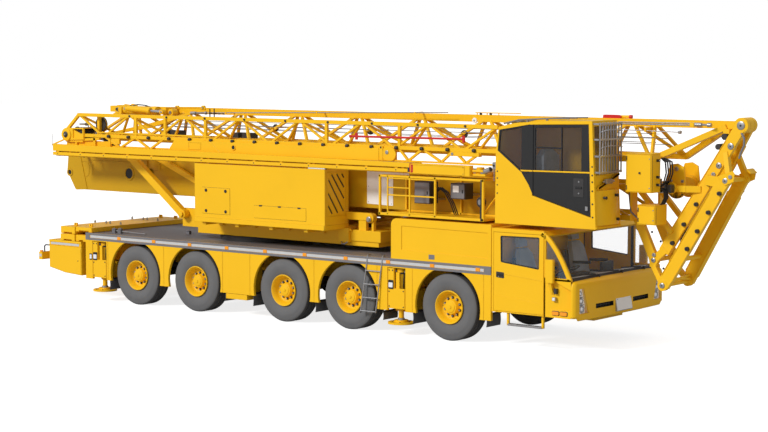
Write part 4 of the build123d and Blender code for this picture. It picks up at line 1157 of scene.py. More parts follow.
def housing_trim():
    """Skins, bolted service panels, flaps and small lamps of both power housings."""
    x0, x1, z0, z1 = HOUSING
    form = Form("yellow", "black", "dark", "silver", "lamp")
    for side in SIDES:
        way = way_of(side)
        skin, face = way * 1.5025, way * 1.5075
        form.use("yellow").prism(rect(x0, z0, x1, z1), "y", way * 1.4995, skin)
        for outline in (SERVICE_PANEL, FLAP):
            # a black sheet a little wider than each panel shows as a dark outline: the painted shadow of the gap round
            # the panel
            form.use("black").prism(rounded(grown(outline, 0.004), 0.014, 3), "y", skin, skin + way * 0.0006)
            form.use("yellow").prism(rounded(outline, 0.012, 3), "y", skin, face)
        for x, z in ((-3.03, 2.44), (-2.51, 2.44), (-3.03, 2.04), (-2.51, 2.04)):
            bolt_head(form.use("dark"), x, face, z, way, 0.024, 0.018)
        for x in (-1.6, -1.12, -0.63):
            form.use("dark").box((x - 0.035, skin, 2.192), (x + 0.035, face + way * 0.006, 2.216))
        form.use("silver").box((-0.42, way * 1.44, 2.958), (0.0, way * 1.49, 2.985))
        form.use("lamp").box((-0.41, way * 1.488, 2.964), (-0.01, way * 1.496, 2.98))
        form.use("dark").box((-3.3, way * 0.86, 2.958), (-0.1, way * 0.9, 2.968))
        form.use("yellow").box((x0, way * 1.488, z0 - 0.078), (x1, way * 1.512, z0 + 0.012))
        form.box((x1 - 0.012, way * 0.805, z0 - 0.078), (x1 + 0.01, way * 1.512, z0 + 0.012))
        form.box((x1, way * 0.803, z0), (x1 + 0.003, way * 1.502, z1))
        border, field = rect(way * 0.88, 2.07, way * 1.45, 2.905), rect(way * 0.888, 2.078, way * 1.442, 2.897)
        form.frame(border, field, "x", x1 + 0.002, x1 + 0.006)
        for (ya, za), (yb, zb) in LOUVRES:
            form.use("black").bar((x1 + 0.003, way * ya, za), (x1 + 0.003, way * yb, zb), 0.004, 0.03)
            form.use("yellow").bar((x1 + 0.008, way * ya, za + 0.03), (x1 + 0.008, way * yb, zb + 0.03), 0.012, 0.012)
    form.done("housing_trim", "platform", 0.0015, 1)


def platform_trim():
    """Pin heads, lashing hoops and the hose bundle on the slewing platform."""
    form = Form("silver", "black", "yellow")
    for way in (-1, 1):
        form.use("silver").lathe([(0, 0.052), (0.01, 0.052), (0.014, 0.04), (0.03, 0.036), (0.034, 0.001)],
                                 (0.585, way * 0.925, 2.02), (0, way, 0), 24)
        for x, z, radius in ((-4.15, 1.88, 0.055), (-2.4, 1.9, 0.045)):
            depth = 1.0 if x < -4 else 0.72
            form.use("yellow").lathe([(0, radius), (0.012, radius), (0.016, radius * 0.7), (0.017, 0.001)],
                                     (x, way * (depth + 0.07), z), (0, way, 0), 24)
        form.use("silver").pipe([(-0.06, way * 0.925, 1.59), (-0.01, way * 0.99, 1.535), (0.06, way * 0.99, 1.535),
                                 (0.11, way * 0.925, 1.59)], 0.014, 8)
        for k in range(4):
            y = way * (0.46 + 0.045 * k)
            form.use("black").pipe([(0.3, y, 1.9), (0.33, y, 1.7), (0.36 + 0.02 * k, y, 1.56),
                                    (0.44 + 0.03 * k, y * 0.9, 1.54)], 0.014, 8)
        form.use("yellow").box((0.24, way * 0.44, 1.8), (0.36, way * 0.64, 1.83))
    form.done("platform_trim", "platform", 0.0)


# ---------------------------------------------------------------- mast
MAST_SIDE = 0.66
CHEEK_EYE = (-7.825, 2.566)
PORTHOLE = (-6.03, 2.606)
MAST_CHEEK = [(-7.655, 2.195), (-7.915, 2.587), (-7.875, 2.925), (-7.5, 2.94), (-7.3, 2.215)]
WHITE_PANEL = [(0.34, 2.29), (0.96, 2.274), (0.96, 2.948), (0.34, 2.966)]


def mast_trim():
    """Cheeks at the rear end, portholes, pressed ribs, clamps under the rail and the bare white panels."""
    # the mast's skin trim takes the same darkened yellow: painted shade of the jib's shadow
    form = Form("mast", "black", "dark", "white", "silver")
    for side in SIDES:
        way = way_of(side)
        skin = way * MAST_SIDE
        form.use("mast").prism(rounded(MAST_CHEEK, 0.03, 3), "y", way * 0.61, skin + way * 0.012)
        form.lathe([(0.0, 0.085), (0.022, 0.085), (0.022, 0.05), (0.004, 0.048)],
                   (CHEEK_EYE[0], skin + way * 0.004, CHEEK_EYE[1]), (0, way, 0), 32)
        form.use("black").pin(CHEEK_EYE[0], CHEEK_EYE[1], skin, skin + way * 0.016, 0.048, 24)
        form.use("mast").lathe([(-0.004, 0.15), (0.014, 0.146), (0.018, 0.134), (0.018, 0.112), (-0.002, 0.104)],
                               (PORTHOLE[0], skin, PORTHOLE[1]), (0, way, 0), 40)
        form.use("black").pin(PORTHOLE[0], PORTHOLE[1], skin - way * 0.004, skin + way * 0.003, 0.11, 32)
        # pressed ribs: a D shaped cover, an upright and a long one
        border, field = rect(-7.535, 2.476, -7.24, 2.82), rect(-7.523, 2.488, -7.252, 2.808)
        form.use("mast").frame(rounded(border, 0.14, 4), rounded(field, 0.13, 4), "y", skin, skin + way * 0.006)
        form.box((-7.148, skin, 2.535), (-7.128, skin + way * 0.007, 2.77))
        form.box((-7.24, skin, 2.838), (-5.9, skin + way * 0.006, 2.85))
        form.prism([(-5.52, 2.213), (-3.36, 2.213), (-3.36, 2.947), (-5.14, 2.947)], "y", skin, skin + way * 0.01)
        for x in (-7.396, -7.016, -6.732, -6.491, -6.288, -5.93, -5.3, -4.7, -4.1, -3.6):
            form.use("dark").box((x - 0.028, skin - way * 0.01, 2.9), (x + 0.028, skin + way * 0.014, 2.948))
            form.use("silver").pin(x, 2.922, skin + way * 0.012, skin + way * 0.02, 0.012, 6)
        form.use("white").prism(WHITE_PANEL, "y", skin, skin + way * 0.008)
        for x, z in ((0.375, 2.925), (0.925, 2.91), (0.375, 2.325), (0.925, 2.31), (0.375, 2.62), (0.925, 2.61)):
            form.use("silver").pin(x, z, skin + way * 0.007, skin + way * 0.012, 0.01, 8)
    form.done("mast_trim", "mast_outer", 0.002, 1)


def rail_flange(form):
    """Upper flange and the web behind the two beams."""
    form.use("yellow").prism([(-7.436, 3.072), (1.985, 3.072), (1.985, 3.154), (-7.436, 3.216)], "y", -1.507, -1.44)
    form.box((-7.43, -1.425, 2.965), (1.985, -1.405, 3.12))


def climbing_drive(form):
    """Climbing drive of the cabin at the rail's front end."""
    form.use("yellow").lathe([(0, 0.08), (0.06, 0.086), (0.07, 0.07), (0.12, 0.07), (0.12, 0.001)], (3.42, -1.33, 3.0),
                             (0, 0, 1), 24)
    form.box((3.3, -1.44, 2.972), (3.6, -1.22, 3.01))
    form.rod((3.33, -1.44, 3.06), (3.56, -1.44, 3.06), 0.02, 12)
    form.use("silver").rod((3.5, -1.4, 3.03), (3.68, -1.4, 3.098), 0.046, 18)
    form.use("dark").rod((3.66, -1.4, 3.091), (3.7, -1.4, 3.106), 0.036, 14)


def rail_trim():
    """Clamps between the cabin rail's two beams, its red end cap and the lashing rollers."""
    form = Form("yellow", "dark", "red", "silver", "white")
    for k in range(14):
        x = -7.3 + 0.69 * k
        form.use("yellow").box((x - 0.03, -1.492, 3.048), (x + 0.03, -1.412, 3.077))
        form.use("dark").pin(x, 3.018, -1.502, -1.494, 0.014, 6)
    form.use("red").prism(rounded(rect(1.988, 2.982, 2.062, 3.148), 0.02, 3), "y", -1.512, -1.47)
    form.use("dark").box((1.94, -1.506, 2.992), (1.99, -1.494, 3.14))
    form.use("white").prism(rect(1.32, 2.925, 1.9, 2.982), "y", -1.402, -1.396)
    form.use("yellow").prism(rect(1.995, 2.962, 3.31, 3.148), "y", -1.506, -1.499)
    form.frame(rect(2.01, 2.972, 3.2, 3.14), rect(2.024, 2.986, 3.186, 3.126), "y", -1.513, -1.505)
    for x, z in ((2.04, 3.0), (3.17, 3.0), (2.04, 3.112), (3.17, 3.112)):
        form.use("dark").pin(x, z, -1.512, -1.506, 0.008, 6)
    rail_flange(form)
    climbing_drive(form)
    form.done("rail_trim", "mast_outer", 0.002, 1)


CAGE_X = (1.262, 3.608)
CAGE_OUT = -1.492
CAGE_BAYS = ((1.471, 1.972), (1.972, 2.54))
# the outer posts' x and half their width, and the inner posts' x
CAGE_POSTS = ((1.288, 0.02), (1.471, 0.013), (1.972, 0.016), (2.54, 0.018), (3.58, 0.022))
INNER_POSTS = (1.288, 2.54, 3.58)
# each cabinet's x from and to, then its height from and to
CABINETS = ((1.83, 2.18, 2.4, 2.8), (2.64, 2.96, 2.52, 2.8))
SPOTLIGHT = (3.38, -1.24, 2.5)
SPOTLIGHT_AIM = (0.3, 1, 0)


def cage_frame(form):
    """Floor plate, rails all round, posts, the two gates and the brace of the open end."""
    form.use("yellow").box((CAGE_X[0], -1.485, 2.183), (CAGE_X[1], -0.665, 2.203))
    for y in (CAGE_OUT, -0.7):
        form.box((CAGE_X[0], y, 2.183), (CAGE_X[1], y + 0.03, 2.232))
        form.box((CAGE_X[0], y, 2.88), (CAGE_X[1], y + 0.03, 2.92))
    for x in (1.268, 3.56):
        form.box((x, CAGE_OUT, 2.89), (x + 0.04, -0.67, 2.918))
        form.box((x, CAGE_OUT, 2.19), (x + 0.04, -0.67, 2.218))
    for x, half in CAGE_POSTS:
        form.box((x - half, CAGE_OUT, 2.2), (x + half, CAGE_OUT + half * 2, 2.915))
    for x in INNER_POSTS:
        form.box((x - 0.018, -0.7, 2.2), (x + 0.018, -0.67, 2.915))
    for x0, x1 in CAGE_BAYS:
        for low, top in ((2.545, 2.57), (2.235, 2.255), (2.85, 2.872)):
            form.box((x0, -1.488, low), (x1, -1.466, top))
    form.box((CAGE_BAYS[0][0], -1.488, 2.685), (CAGE_BAYS[0][1], -1.466, 2.706))
    form.bar((3.58, -1.47, 2.3), (3.58, -0.69, 2.86), 0.022, 0.03)
    form.use("dark").box((3.535, -1.498, 2.19), (3.562, -1.486, 2.91))


def switch_cabinets(form):
    """Two cabinets with a door, a latch and a bracket each, and the cables between them."""
    for x0, x1, low, top in CABINETS:
        door = rect(x0 + 0.012, low + 0.012, x1 - 0.012, top - 0.012)
        middle = (low + top) / 2
        form.use("dark").box((x0, -1.15, low), (x1, -0.9, top))
        form.use("grey").prism(rounded(door, 0.02, 3), "y", -1.162, -1.148)
        form.use("black").box((x1 - 0.06, -1.172, middle - 0.03), (x1 - 0.04, -1.16, middle + 0.03))
        form.use("silver").box((x0, -0.9, low + 0.05), (x1, -0.665, low + 0.08))
    form.use("white").box((2.7, -1.168, 2.64), (2.83, -1.16, 2.76))
    for k in range(3):
        form.use("black").pipe([(2.17 + 0.02 * k, -1.0, 2.6), (2.3 + 0.04 * k, -1.05, 2.7),
                                (2.42 + 0.04 * k, -1.03, 2.62), (2.5 + 0.04 * k, -0.96, 2.42),
                                (2.55 + 0.04 * k, -0.9, 2.21)], 0.012, 8)


def cage():
    """Walkway cage: tube frame with two gated bays, floor plate, grey switch cabinets, cables and a spotlight."""
    form = Form("yellow", "grey", "silver", "black", "dark", "white")
    cage_frame(form)
    switch_cabinets(form)
    form.use("dark").lathe([(-0.04, 0.09), (0.04, 0.09)], SPOTLIGHT, SPOTLIGHT_AIM, 24)
    form.use("silver").lathe([(-0.045, 0.05), (0.045, 0.05)], SPOTLIGHT, SPOTLIGHT_AIM, 20)
    form.use("black").post(SPOTLIGHT[0], SPOTLIGHT[1], 2.2, 2.43, 0.03, 12)
    form.done("cage", "mast_outer", 0.003, 1, ("walkway_cage",))


# ---------------------------------------------------------------- operator's cabin
REAR_PANE = [(3.935, 3.8), (4.56, 3.905), (4.56, 2.85), (4.4, 3.075), (3.9, 3.44)]
DOOR_SHAPE = [(4.628, 2.7), (5.79, 2.385), (5.74, 3.926), (4.628, 3.898)]
DOOR_GLASS = [(4.672, 3.128), (5.73, 3.15), (5.705, 3.88), (4.672, 3.852)]
DOOR_PANEL = [(4.668, 2.745), (5.748, 2.448), (5.728, 3.072), (4.668, 3.05)]


def cabin_panes():
    """Dark fixed panes beside and behind the door, and the front window, each in a rubber seal."""
    form = Form("dark_glass", "black", "yellow")
    hole = rounded(grown(REAR_PANE, 0.004), 0.02, 3)
    inner = rounded(grown(REAR_PANE, -0.026), 0.02, 3)
    form.use("black").frame(hole, inner, "y", -1.49, -1.462)
    form.use("dark_glass").prism(inner, "y", -1.48, -1.474)
    form.use("black").prism([(4.4, 3.06), (4.56, 2.858), (4.56, 3.06)], "y", -1.496, -1.47)
    form.use("yellow").prism([(4.395, 3.098), (4.628, 3.1), (4.628, 3.126), (4.372, 3.124)], "y", -1.503, -1.4965)
    form.use("black").prism([(4.556, 3.905), (4.556, 2.85), (4.634, 2.7), (4.634, 3.905)], "y", -1.5015, -1.48)
    form.use("black").box((4.392, -1.492, 3.07), (4.56, -1.468, 3.88))
    form.use("dark_glass").prism([(5.848, 3.085), (5.854, 3.085), (5.814, 3.895), (5.808, 3.895)], "y", -1.438, -0.762)
    form.done("cabin_panes", "mast_inner", 0.0015, 1, ("operator_glass",))


def cabin_door():
    """Sliding-window door: dark panes over a black panel, a band between them, handle plate and latch."""
    form = Form("dark_glass", "black", "yellow", "dark", "silver")
    outer = rounded(DOOR_SHAPE, 0.02, 3)
    form.use("black").frame(outer, rounded(DOOR_GLASS, 0.02, 3), "y", -1.49, -1.452)
    form.use("dark_glass").prism(rounded(DOOR_GLASS, 0.02, 3), "y", -1.48, -1.474)
    form.use("black").prism(rounded(DOOR_PANEL, 0.03, 3), "y", -1.496, -1.488)
    form.use("yellow").prism([(4.636, 3.1), (5.772, 3.112), (5.77, 3.138), (4.636, 3.126)], "y", -1.4985, -1.486)
    form.use("black").box((5.198, -1.493, 3.14), (5.216, -1.468, 3.88))
    form.box((4.672, -1.492, 3.505), (5.2, -1.472, 3.53))
    form.box((5.6, -1.492, 3.145), (5.735, -1.47, 3.885))
    form.use("dark").prism(rounded([(5.45, 2.712), (5.655, 2.706), (5.655, 3.022), (5.45, 3.022)], 0.02, 3), "y",
                           -1.502, -1.494)
    form.use("black").box((5.49, -1.516, 2.85), (5.62, -1.5, 2.885))
    for z in (2.77, 2.965):
        form.use("silver").pin(5.56, z, -1.508, -1.5, 0.014, 12)
    form.use("silver").box((5.69, -1.506, 2.485), (5.74, -1.494, 2.555))
    form.done("cabin_door", "operator_door", 0.002, 1, ("operator_door",))


def cabin_seat():
    """Seat with arm consoles over the plain CAD seat."""
    form = Form("seat", "black", "silver")
    form.use("black").box((4.69, -1.35, 2.215), (5.212, -0.85, 2.712))
    form.use("seat").box((4.72, -1.325, 2.705), (5.22, -0.875, 2.79))
    form.use("seat").hull([[(4.6, -1.345, 2.6), (4.755, -1.345, 2.6), (4.755, -0.855, 2.6), (4.6, -0.855, 2.6)],
                           [(4.6, -1.345, 3.365), (4.75, -1.345, 3.365), (4.75, -0.855, 3.365), (4.6, -0.855, 3.365)],
                           [(4.61, -1.22, 3.48), (4.7, -1.22, 3.48), (4.7, -0.98, 3.48), (4.61, -0.98, 3.48)]])
    for y in (-1.39, -0.86):
        form.use("black").box((4.85, y, 2.78), (5.25, y + 0.055, 2.96))
        form.use("silver").rod((5.18, y + 0.027, 2.955), (5.2, y + 0.027, 3.06), 0.012, 8)
    form.done("cabin_seat", "mast_inner", 0.012, 2)


def cabin_guard():
    """Zinc guard before the front window: nine upright bars and bowed bands over the CAD guard."""
    form = Form("silver")
    for i in range(9):
        y = -1.46 + 0.085 * i
        form.use("silver").box((5.9345, y - 0.0105, 3.105), (5.9555, y + 0.0105, 3.968))
    for z in (3.13, 3.4, 3.68, 3.94):
        form.box((5.93, -1.472, z - 0.015), (5.96, -0.768, z + 0.015))
        for y in (-1.472, -0.797):
            form.box((5.776, y, z - 0.015), (5.945, y + 0.03, z + 0.015))
    for z in (3.54, 3.81):
        form.pipe([(5.962, -1.47 + 0.7 * k / 10, z + 0.03 * math.sin(math.pi * k / 10)) for k in range(11)], 0.009, 6)
    form.done("cabin_guard", "mast_inner", 0.002, 1)


CABIN_FOOT = 2.175
FRONT_LEAN = 0.0496  # how far the cabin's front leans back per metre of height
BULGE_Y = (-1.45, -0.75)
BULGE = 0.07
BRACE_Y = (-1.44, -0.77)
BRACE_Z = (2.86, 3.08)


def bulged_panel(form, steps=10):
    """Front panel below the window, bowed across its width."""
    rings = []
    for z, edge in ((2.235, 0.006), (2.26, 0.0), (2.8, 0.0), (2.825, 0.006)):
        lean = (z - CABIN_FOOT) * FRONT_LEAN
        front = [(5.9 - lean + (BULGE - edge) * math.sin(math.pi * k / steps) ** 0.7 + 0.002,
                  BULGE_Y[0] + 0.7 * k / steps, z) for k in range(steps + 1)]
        rings.append(front + [(5.87 - lean, y, z) for y in reversed(BULGE_Y)])
    form.use("yellow").hull(rings)
    for y, z in ((-0.939, 2.729), (-0.9, 2.321), (-1.3, 2.7)):
        form.use("dark").rod((5.93, y, z), (5.985, y, z), 0.024, 14)
        form.use("black").rod((5.98, y, z), (5.99, y, z), 0.03, 14)


def front_brace(form):
    """Crossed bars over the window's lower part, held by a buckle."""
    for y, low, high in ((BRACE_Y[0], *BRACE_Z), (BRACE_Y[1], *reversed(BRACE_Z))):
        form.use("yellow").bar((5.9, y, low), (5.9, BRACE_Y[0] + BRACE_Y[1] - y, high), 0.03, 0.04)
    form.use("silver").box((5.895, -1.235, 2.93), (5.935, -1.02, 3.01))
    form.pin(5.915, 2.97, -1.29, -0.96, 0.016, 10)


def roof_rails(form):
    for y in (-1.4, -1.15, -0.82):
        form.use("grey").pipe([(3.96, y, 3.905), (4.28, y, 3.975), (4.87, y, 4.01), (5.3, y, 4.02)], 0.014, 8)
    for x, z in ((4.05, 3.925), (4.45, 3.985), (4.85, 4.01)):
        form.pin(x, z, -1.4, -0.82, 0.012, 8)
        form.box((x - 0.02, -1.41, z - 0.075), (x + 0.02, -1.38, z))


def cabin_trim():
    """Bulged front panel, buffers, brace with its buckle, corner screws, rear bracket and roof rails."""
    form = Form("yellow", "dark", "silver", "black", "grey")
    bulged_panel(form)
    front_brace(form)
    for z in (3.226, 3.083, 2.971, 2.819, 2.6, 2.38):
        x = 5.828 - (z - 2.8) * 0.02
        form.use("dark").pin(x, z, -1.507, -1.498, 0.016, 10)
    for z in (3.079, 2.962, 2.845, 2.7):
        form.use("dark").pin(3.898, z, -1.506, -1.498, 0.014, 10)
    form.use("silver").box((3.77, -1.47, 3.11), (3.86, -1.3, 3.23))
    form.use("dark").pin(3.8, 3.17, -1.48, -1.468, 0.02, 12)
    form.use("silver").post(3.79, -1.44, 2.9, 3.12, 0.01, 8)
    roof_rails(form)
    form.use("yellow").box((5.895, -1.495, 2.19), (5.915, -0.705, 2.215))
    form.done("cabin_trim", "mast_inner", 0.003, 1)


def upper_works():
    housing_trim()
    platform_trim()
    mast_trim()
    rail_trim()
    cage()
    cabin_panes()
    cabin_door()
    cabin_seat()
    cabin_guard()
    cabin_trim()


# ---------------------------------------------------------------- folded jib
CHORD_Y = -1.31
GIRDER_Y = -1.372
DRUM_HUB = (-7.15, -1.372, 3.418)
STAY_Y = -0.3
TIE_Y = -0.28


def trolley_drum(form):
    """Wound drum with its motor and the rope's clamp."""
    rows = [(0.0, 0.15)]
    for k in range(22):
        rows += [(0.02 + 0.018 * k, 0.122), (0.029 + 0.018 * k, 0.131)]
    rows += [(0.42, 0.122), (0.42, 0.15), (0.44, 0.15)]
    form.use("dark").lathe(rows, (-6.88, -1.31, 3.44), (0, 1, 0), 36)
    form.use("grey").rod((-6.62, -1.02, 3.4), (-6.18, -1.02, 3.33), 0.075, 20)
    form.use("silver").rod((-6.64, -1.02, 3.404), (-6.56, -1.02, 3.392), 0.088, 20)
    form.use("black").box((-6.42, -1.1, 3.39), (-6.28, -0.96, 3.45))
    form.use("silver").rod((-7.04, -1.1, 3.628), (-6.74, -1.1, 3.634), 0.018, 12)
    form.rod((-6.86, -1.1, 3.631), (-6.8, -1.1, 3.632), 0.034, 14)
    form.use("dark").post(-6.78, -1.1, 3.56, 3.72, 0.01, 8)


def trolley_sheave(form):
    """Rope sheave in front of the CAD disc, with its groove and hub."""
    centre = (-6.35, -1.1285, 3.645)
    form.use("dark").lathe([(-0.028, 0.001), (-0.028, 0.05), (-0.03, 0.12), (-0.03, 0.15), (-0.012, 0.152),
                            (0.0, 0.136), (0.012, 0.152), (0.03, 0.15), (0.03, 0.001)], centre, (0, 1, 0), 40)
    form.use("silver").pin(-6.35, 3.645, -1.172, -1.085, 0.03, 16)
    form.use("yellow").bar((-6.35, -1.215, 3.35), (-6.35, -1.215, 3.85), 0.02, 0.07)
    form.box((-6.395, -1.33, 3.8), (-6.305, -1.205, 3.85))
    form.box((-6.395, -1.33, 3.345), (-6.305, -1.205, 3.385))


def trolley_winch():
    """Rope winch and sheave at the outer jib's rear end."""
    form = Form("yellow", "dark", "black", "silver", "grey")
    form.use("yellow").lathe([(-0.03, 0.1), (-0.022, 0.134), (0.0, 0.14), (0.04, 0.14), (0.04, 0.001)],
                             DRUM_HUB, (0, 1, 0), 40)
    form.use("dark").lathe([(-0.052, 0.001), (-0.052, 0.04), (-0.04, 0.062), (-0.024, 0.066)],
                           DRUM_HUB, (0, 1, 0), 28)
    form.use("silver").pin(-7.15, 3.418, -1.432, -1.42, 0.022, 6)
    form.use("yellow").frame([(-7.15, 3.3), (-6.64, 3.32), (-6.64, 3.565), (-7.15, 3.556)],
                             [(-6.96, 3.345), (-6.672, 3.352), (-6.672, 3.538), (-6.96, 3.532)], "y", -1.372, -1.33)
    form.box((-6.972, -1.33, 3.546), (-6.64, -0.88, 3.56))
    form.prism([(-7.22, 3.262), (-6.2, 3.32), (-6.2, 3.372), (-7.22, 3.318)], "y", -1.345, -1.29)
    trolley_drum(form)
    trolley_sheave(form)
    form.done("trolley_winch", "jib_outer", 0.003, 2)


def jib_runner(form):
    """Runner just above the cabin rail and the bracing between it and the chord."""
    form.use("yellow").box((-6.95, -1.35, 3.156), (3.69, -1.3, 3.188))
    for pairs in ([(-6.05, 3.4), (-5.6, 3.18), (-5.17, 3.4), (-4.75, 3.18), (-4.35, 3.4)],
                  [(1.6, 3.4), (1.82, 3.18), (2.14, 3.4), (2.56, 3.18), (2.83, 3.4), (3.1, 3.18), (3.45, 3.4)]):
        for (xa, za), (xb, zb) in zip(pairs, pairs[1:]):
            form.bar((xa, CHORD_Y - 0.005, za), (xb, CHORD_Y - 0.005, zb), 0.04, 0.045)
    for x in (-6.9, -6.35, -5.9):
        form.box((x - 0.03, -1.345, 3.18), (x + 0.03, -1.3, 3.39))
    form.box((-5.93, -1.33, 3.25), (-5.62, -1.28, 3.48))
    form.box((-7.23, -1.3, 3.188), (-5.96, -1.27, 3.3))
    form.box((-5.96, -1.3, 3.188), (-4.25, -1.285, 3.215))
    form.use("black").box((-6.18, -1.24, 3.2), (-5.95, -1.0, 3.42))


def chord_rail(form):
    """Thin rail along the first panels."""
    form.use("yellow").box((-6.26, -1.35, 3.466), (-3.06, -1.325, 3.494))


def lattice_posts(form):
    """Posts a little thicker than the lattice bars."""
    for x in (-5.135, -4.31, -3.2, -0.1, 1.62):
        form.bar((x, CHORD_Y - 0.012, 3.4), (x, CHORD_Y - 0.012, 3.82), 0.05, 0.062)


def girder_skin(form):
    """Skin of the box girder with a bordered hatch and a round opening."""
    form.use("yellow").prism([(-4.19, 3.16), (1.18, 3.16), (1.18, 3.392), (-3.99, 3.392)], "y",
                             GIRDER_Y - 0.006, GIRDER_Y + 0.004)
    form.frame(rect(-3.62, 3.215, -3.28, 3.365),
               rect(-3.606, 3.229, -3.294, 3.351), "y", GIRDER_Y - 0.012, GIRDER_Y - 0.004)
    form.prism([(-3.1, 3.385), (-3.02, 3.385), (-2.76, 3.17), (-2.84, 3.17)], "y", GIRDER_Y - 0.014, GIRDER_Y - 0.004)
    form.lathe([(-0.004, 0.062), (0.012, 0.062), (0.012, 0.04), (-0.002, 0.038)], (-2.41, GIRDER_Y - 0.006, 3.29),
               (0, -1, 0), 28)
    form.use("black").pin(-2.41, 3.29, GIRDER_Y - 0.01, GIRDER_Y - 0.002, 0.041, 24)


def girder_hinge(form):
    """Hinge end of the girder: slot plates, curved lug and pin."""
    form.use("black").box((1.2, -1.365, 3.175), (1.245, -1.25, 3.42))
    form.use("yellow").box((1.245, -1.38, 3.16), (1.275, -1.25, 3.43))
    form.use("yellow").prism(rounded([(1.275, 3.165), (1.52, 3.165), (1.59, 3.3), (1.5, 3.42), (1.275, 3.42)], 0.09, 4),
                             "y", -1.376, -1.346)
    form.use("silver").lathe([(0, 0.036), (0.012, 0.036), (0.016, 0.02), (0.016, 0.001)], (1.37, -1.376, 3.32),
                             (0, -1, 0), 20)


def lashing_rollers(form):
    """Lashing rollers below the front chord."""
    for k in range(17):
        x = -5.9 + 0.575 * k
        form.use("dark").rod((x - 0.03, CHORD_Y - 0.055, 3.41), (x + 0.03, CHORD_Y - 0.055, 3.41), 0.03, 12)
        form.use("black").box((x - 0.02, CHORD_Y - 0.048, 3.376), (x + 0.02, CHORD_Y - 0.02, 3.44))
    for k in range(9):
        x = -5.3 + 1.05 * k
        form.use("dark").pin(x, 3.835, CHORD_Y - 0.055, CHORD_Y - 0.02, 0.022, 10)


def gauge_bar(form):
    """Red gauge bar with flanged ends."""
    form.use("red").rod((0.51, -1.35, 3.588), (3.06, -1.35, 3.606), 0.02, 12)
    form.rod((0.48, -1.35, 3.588), (0.515, -1.35, 3.588), 0.03, 12, 0.02)
    for x, z in ((0.64, 3.59), (3.07, 3.606)):
        form.box((x - 0.022, -1.368, z - 0.062), (x + 0.022, -1.332, z + 0.062))
    form.use("yellow").box((2.76, -1.35, 3.3), (3.4, -1.26, 3.375))
    form.use("silver").pin(2.82, 3.337, -1.36, -1.345, 0.026, 14)


def outer_jib_trim():
    """Runner, bracing, girder skin, rollers, posts and the red gauge bar of the outer jib section."""
    form = Form("yellow", "dark", "black", "silver", "red")
    jib_runner(form)
    chord_rail(form)
    lattice_posts(form)
    girder_skin(form)
    girder_hinge(form)
    lashing_rollers(form)
    gauge_bar(form)
    form.done("outer_jib_trim", "jib_outer", 0.002, 1)


def jib_antenna():
    """Antenna on a small arm at the folded jib's rear corner."""
    form = Form("yellow", "silver")
    form.use("yellow").bar((-7.2, -1.335, 3.33), (-7.56, -1.4, 3.19), 0.02, 0.03)
    form.use("silver").post(-7.56, -1.4, 3.175, 3.205, 0.014, 10)
    form.post(-7.56, -1.4, 3.2, 3.425, 0.0045, 6)
    form.done("jib_antenna", "jib_outer", 0.0)


def cylinder(form, start, end, radius, rod_part):
    """A hydraulic cylinder with a head gland, rod and an eye at each end."""
    a, b = Vector(start), Vector(end)
    axis = (b - a).normalized()
    split = a + (b - a) * (1 - rod_part)
    form.use("yellow").rod(a, split, radius, 24)
    form.rod(split - axis * radius, split + axis * radius * 0.4, radius * 1.15, 24)
    form.use("rod").rod(split, b, radius * 0.5, 18)
    side = axis.cross(Vector((0, 0, 1))).normalized()
    for p, r in ((a, radius * 1.05), (b, radius * 0.85)):
        form.use("yellow").rod(p - side * radius * 0.8, p + side * radius * 0.8, r, 20)
        form.use("silver").rod(p - side * radius * 0.95, p + side * radius * 0.95, r * 0.45, 16)


def luffing_cylinders(form):
    """Cylinder group above the rear end."""
    cylinder(form, (-6.64, -0.3, 3.925), (-5.1, -0.3, 3.89), 0.092, 0.3)
    cylinder(form, (-6.2, -0.56, 3.96), (-5.2, -0.5, 3.9), 0.058, 0.35)
    for x0, x1 in ((-6.56, -6.5), (-5.26, -5.2)):
        form.use("yellow").prism([(x0, 3.78), (x1, 3.78), (x1 + 0.02, 3.99), (x0 - 0.02, 3.99)], "y", -0.42, 0.08)
    for y in (-0.12, 0.09):
        form.prism([(-7.1, 3.8), (-6.45, 3.8), (-6.56, 4.02), (-6.7, 4.035), (-6.8, 3.96)], "y", y, y + 0.03)
    form.use("dark").pin(-6.66, 3.93, -0.4, 0.15, 0.034, 16)
    for x, z in ((-6.35, 4.02), (-5.9, 4.01), (-5.65, 3.99)):
        form.use("black").rod((x, -0.3, z - 0.03), (x + 0.03, -0.3, z), 0.016, 8)
    form.use("black").pipe([(-6.4, -0.23, 4.0), (-6.25, -0.18, 4.03), (-6.0, -0.2, 4.02), (-5.8, -0.22, 3.98)],
                           0.012, 8)


def short_tie_rod(form):
    """Small tie rod on two lugs."""
    for x, z in ((-5.2, 3.985), (-4.45, 3.998)):
        lug = [(x - 0.07, 3.955), (x + 0.07, 3.955), (x + 0.035, z + 0.04), (x - 0.035, z + 0.04)]
        form.use("yellow").prism(lug, "y", -0.085, -0.045)
        form.use("silver").pin(x, z, -0.11, -0.025, 0.02, 12)
    form.use("yellow").rod((-5.18, -0.066, 3.988), (-4.47, -0.066, 3.998), 0.014, 10)


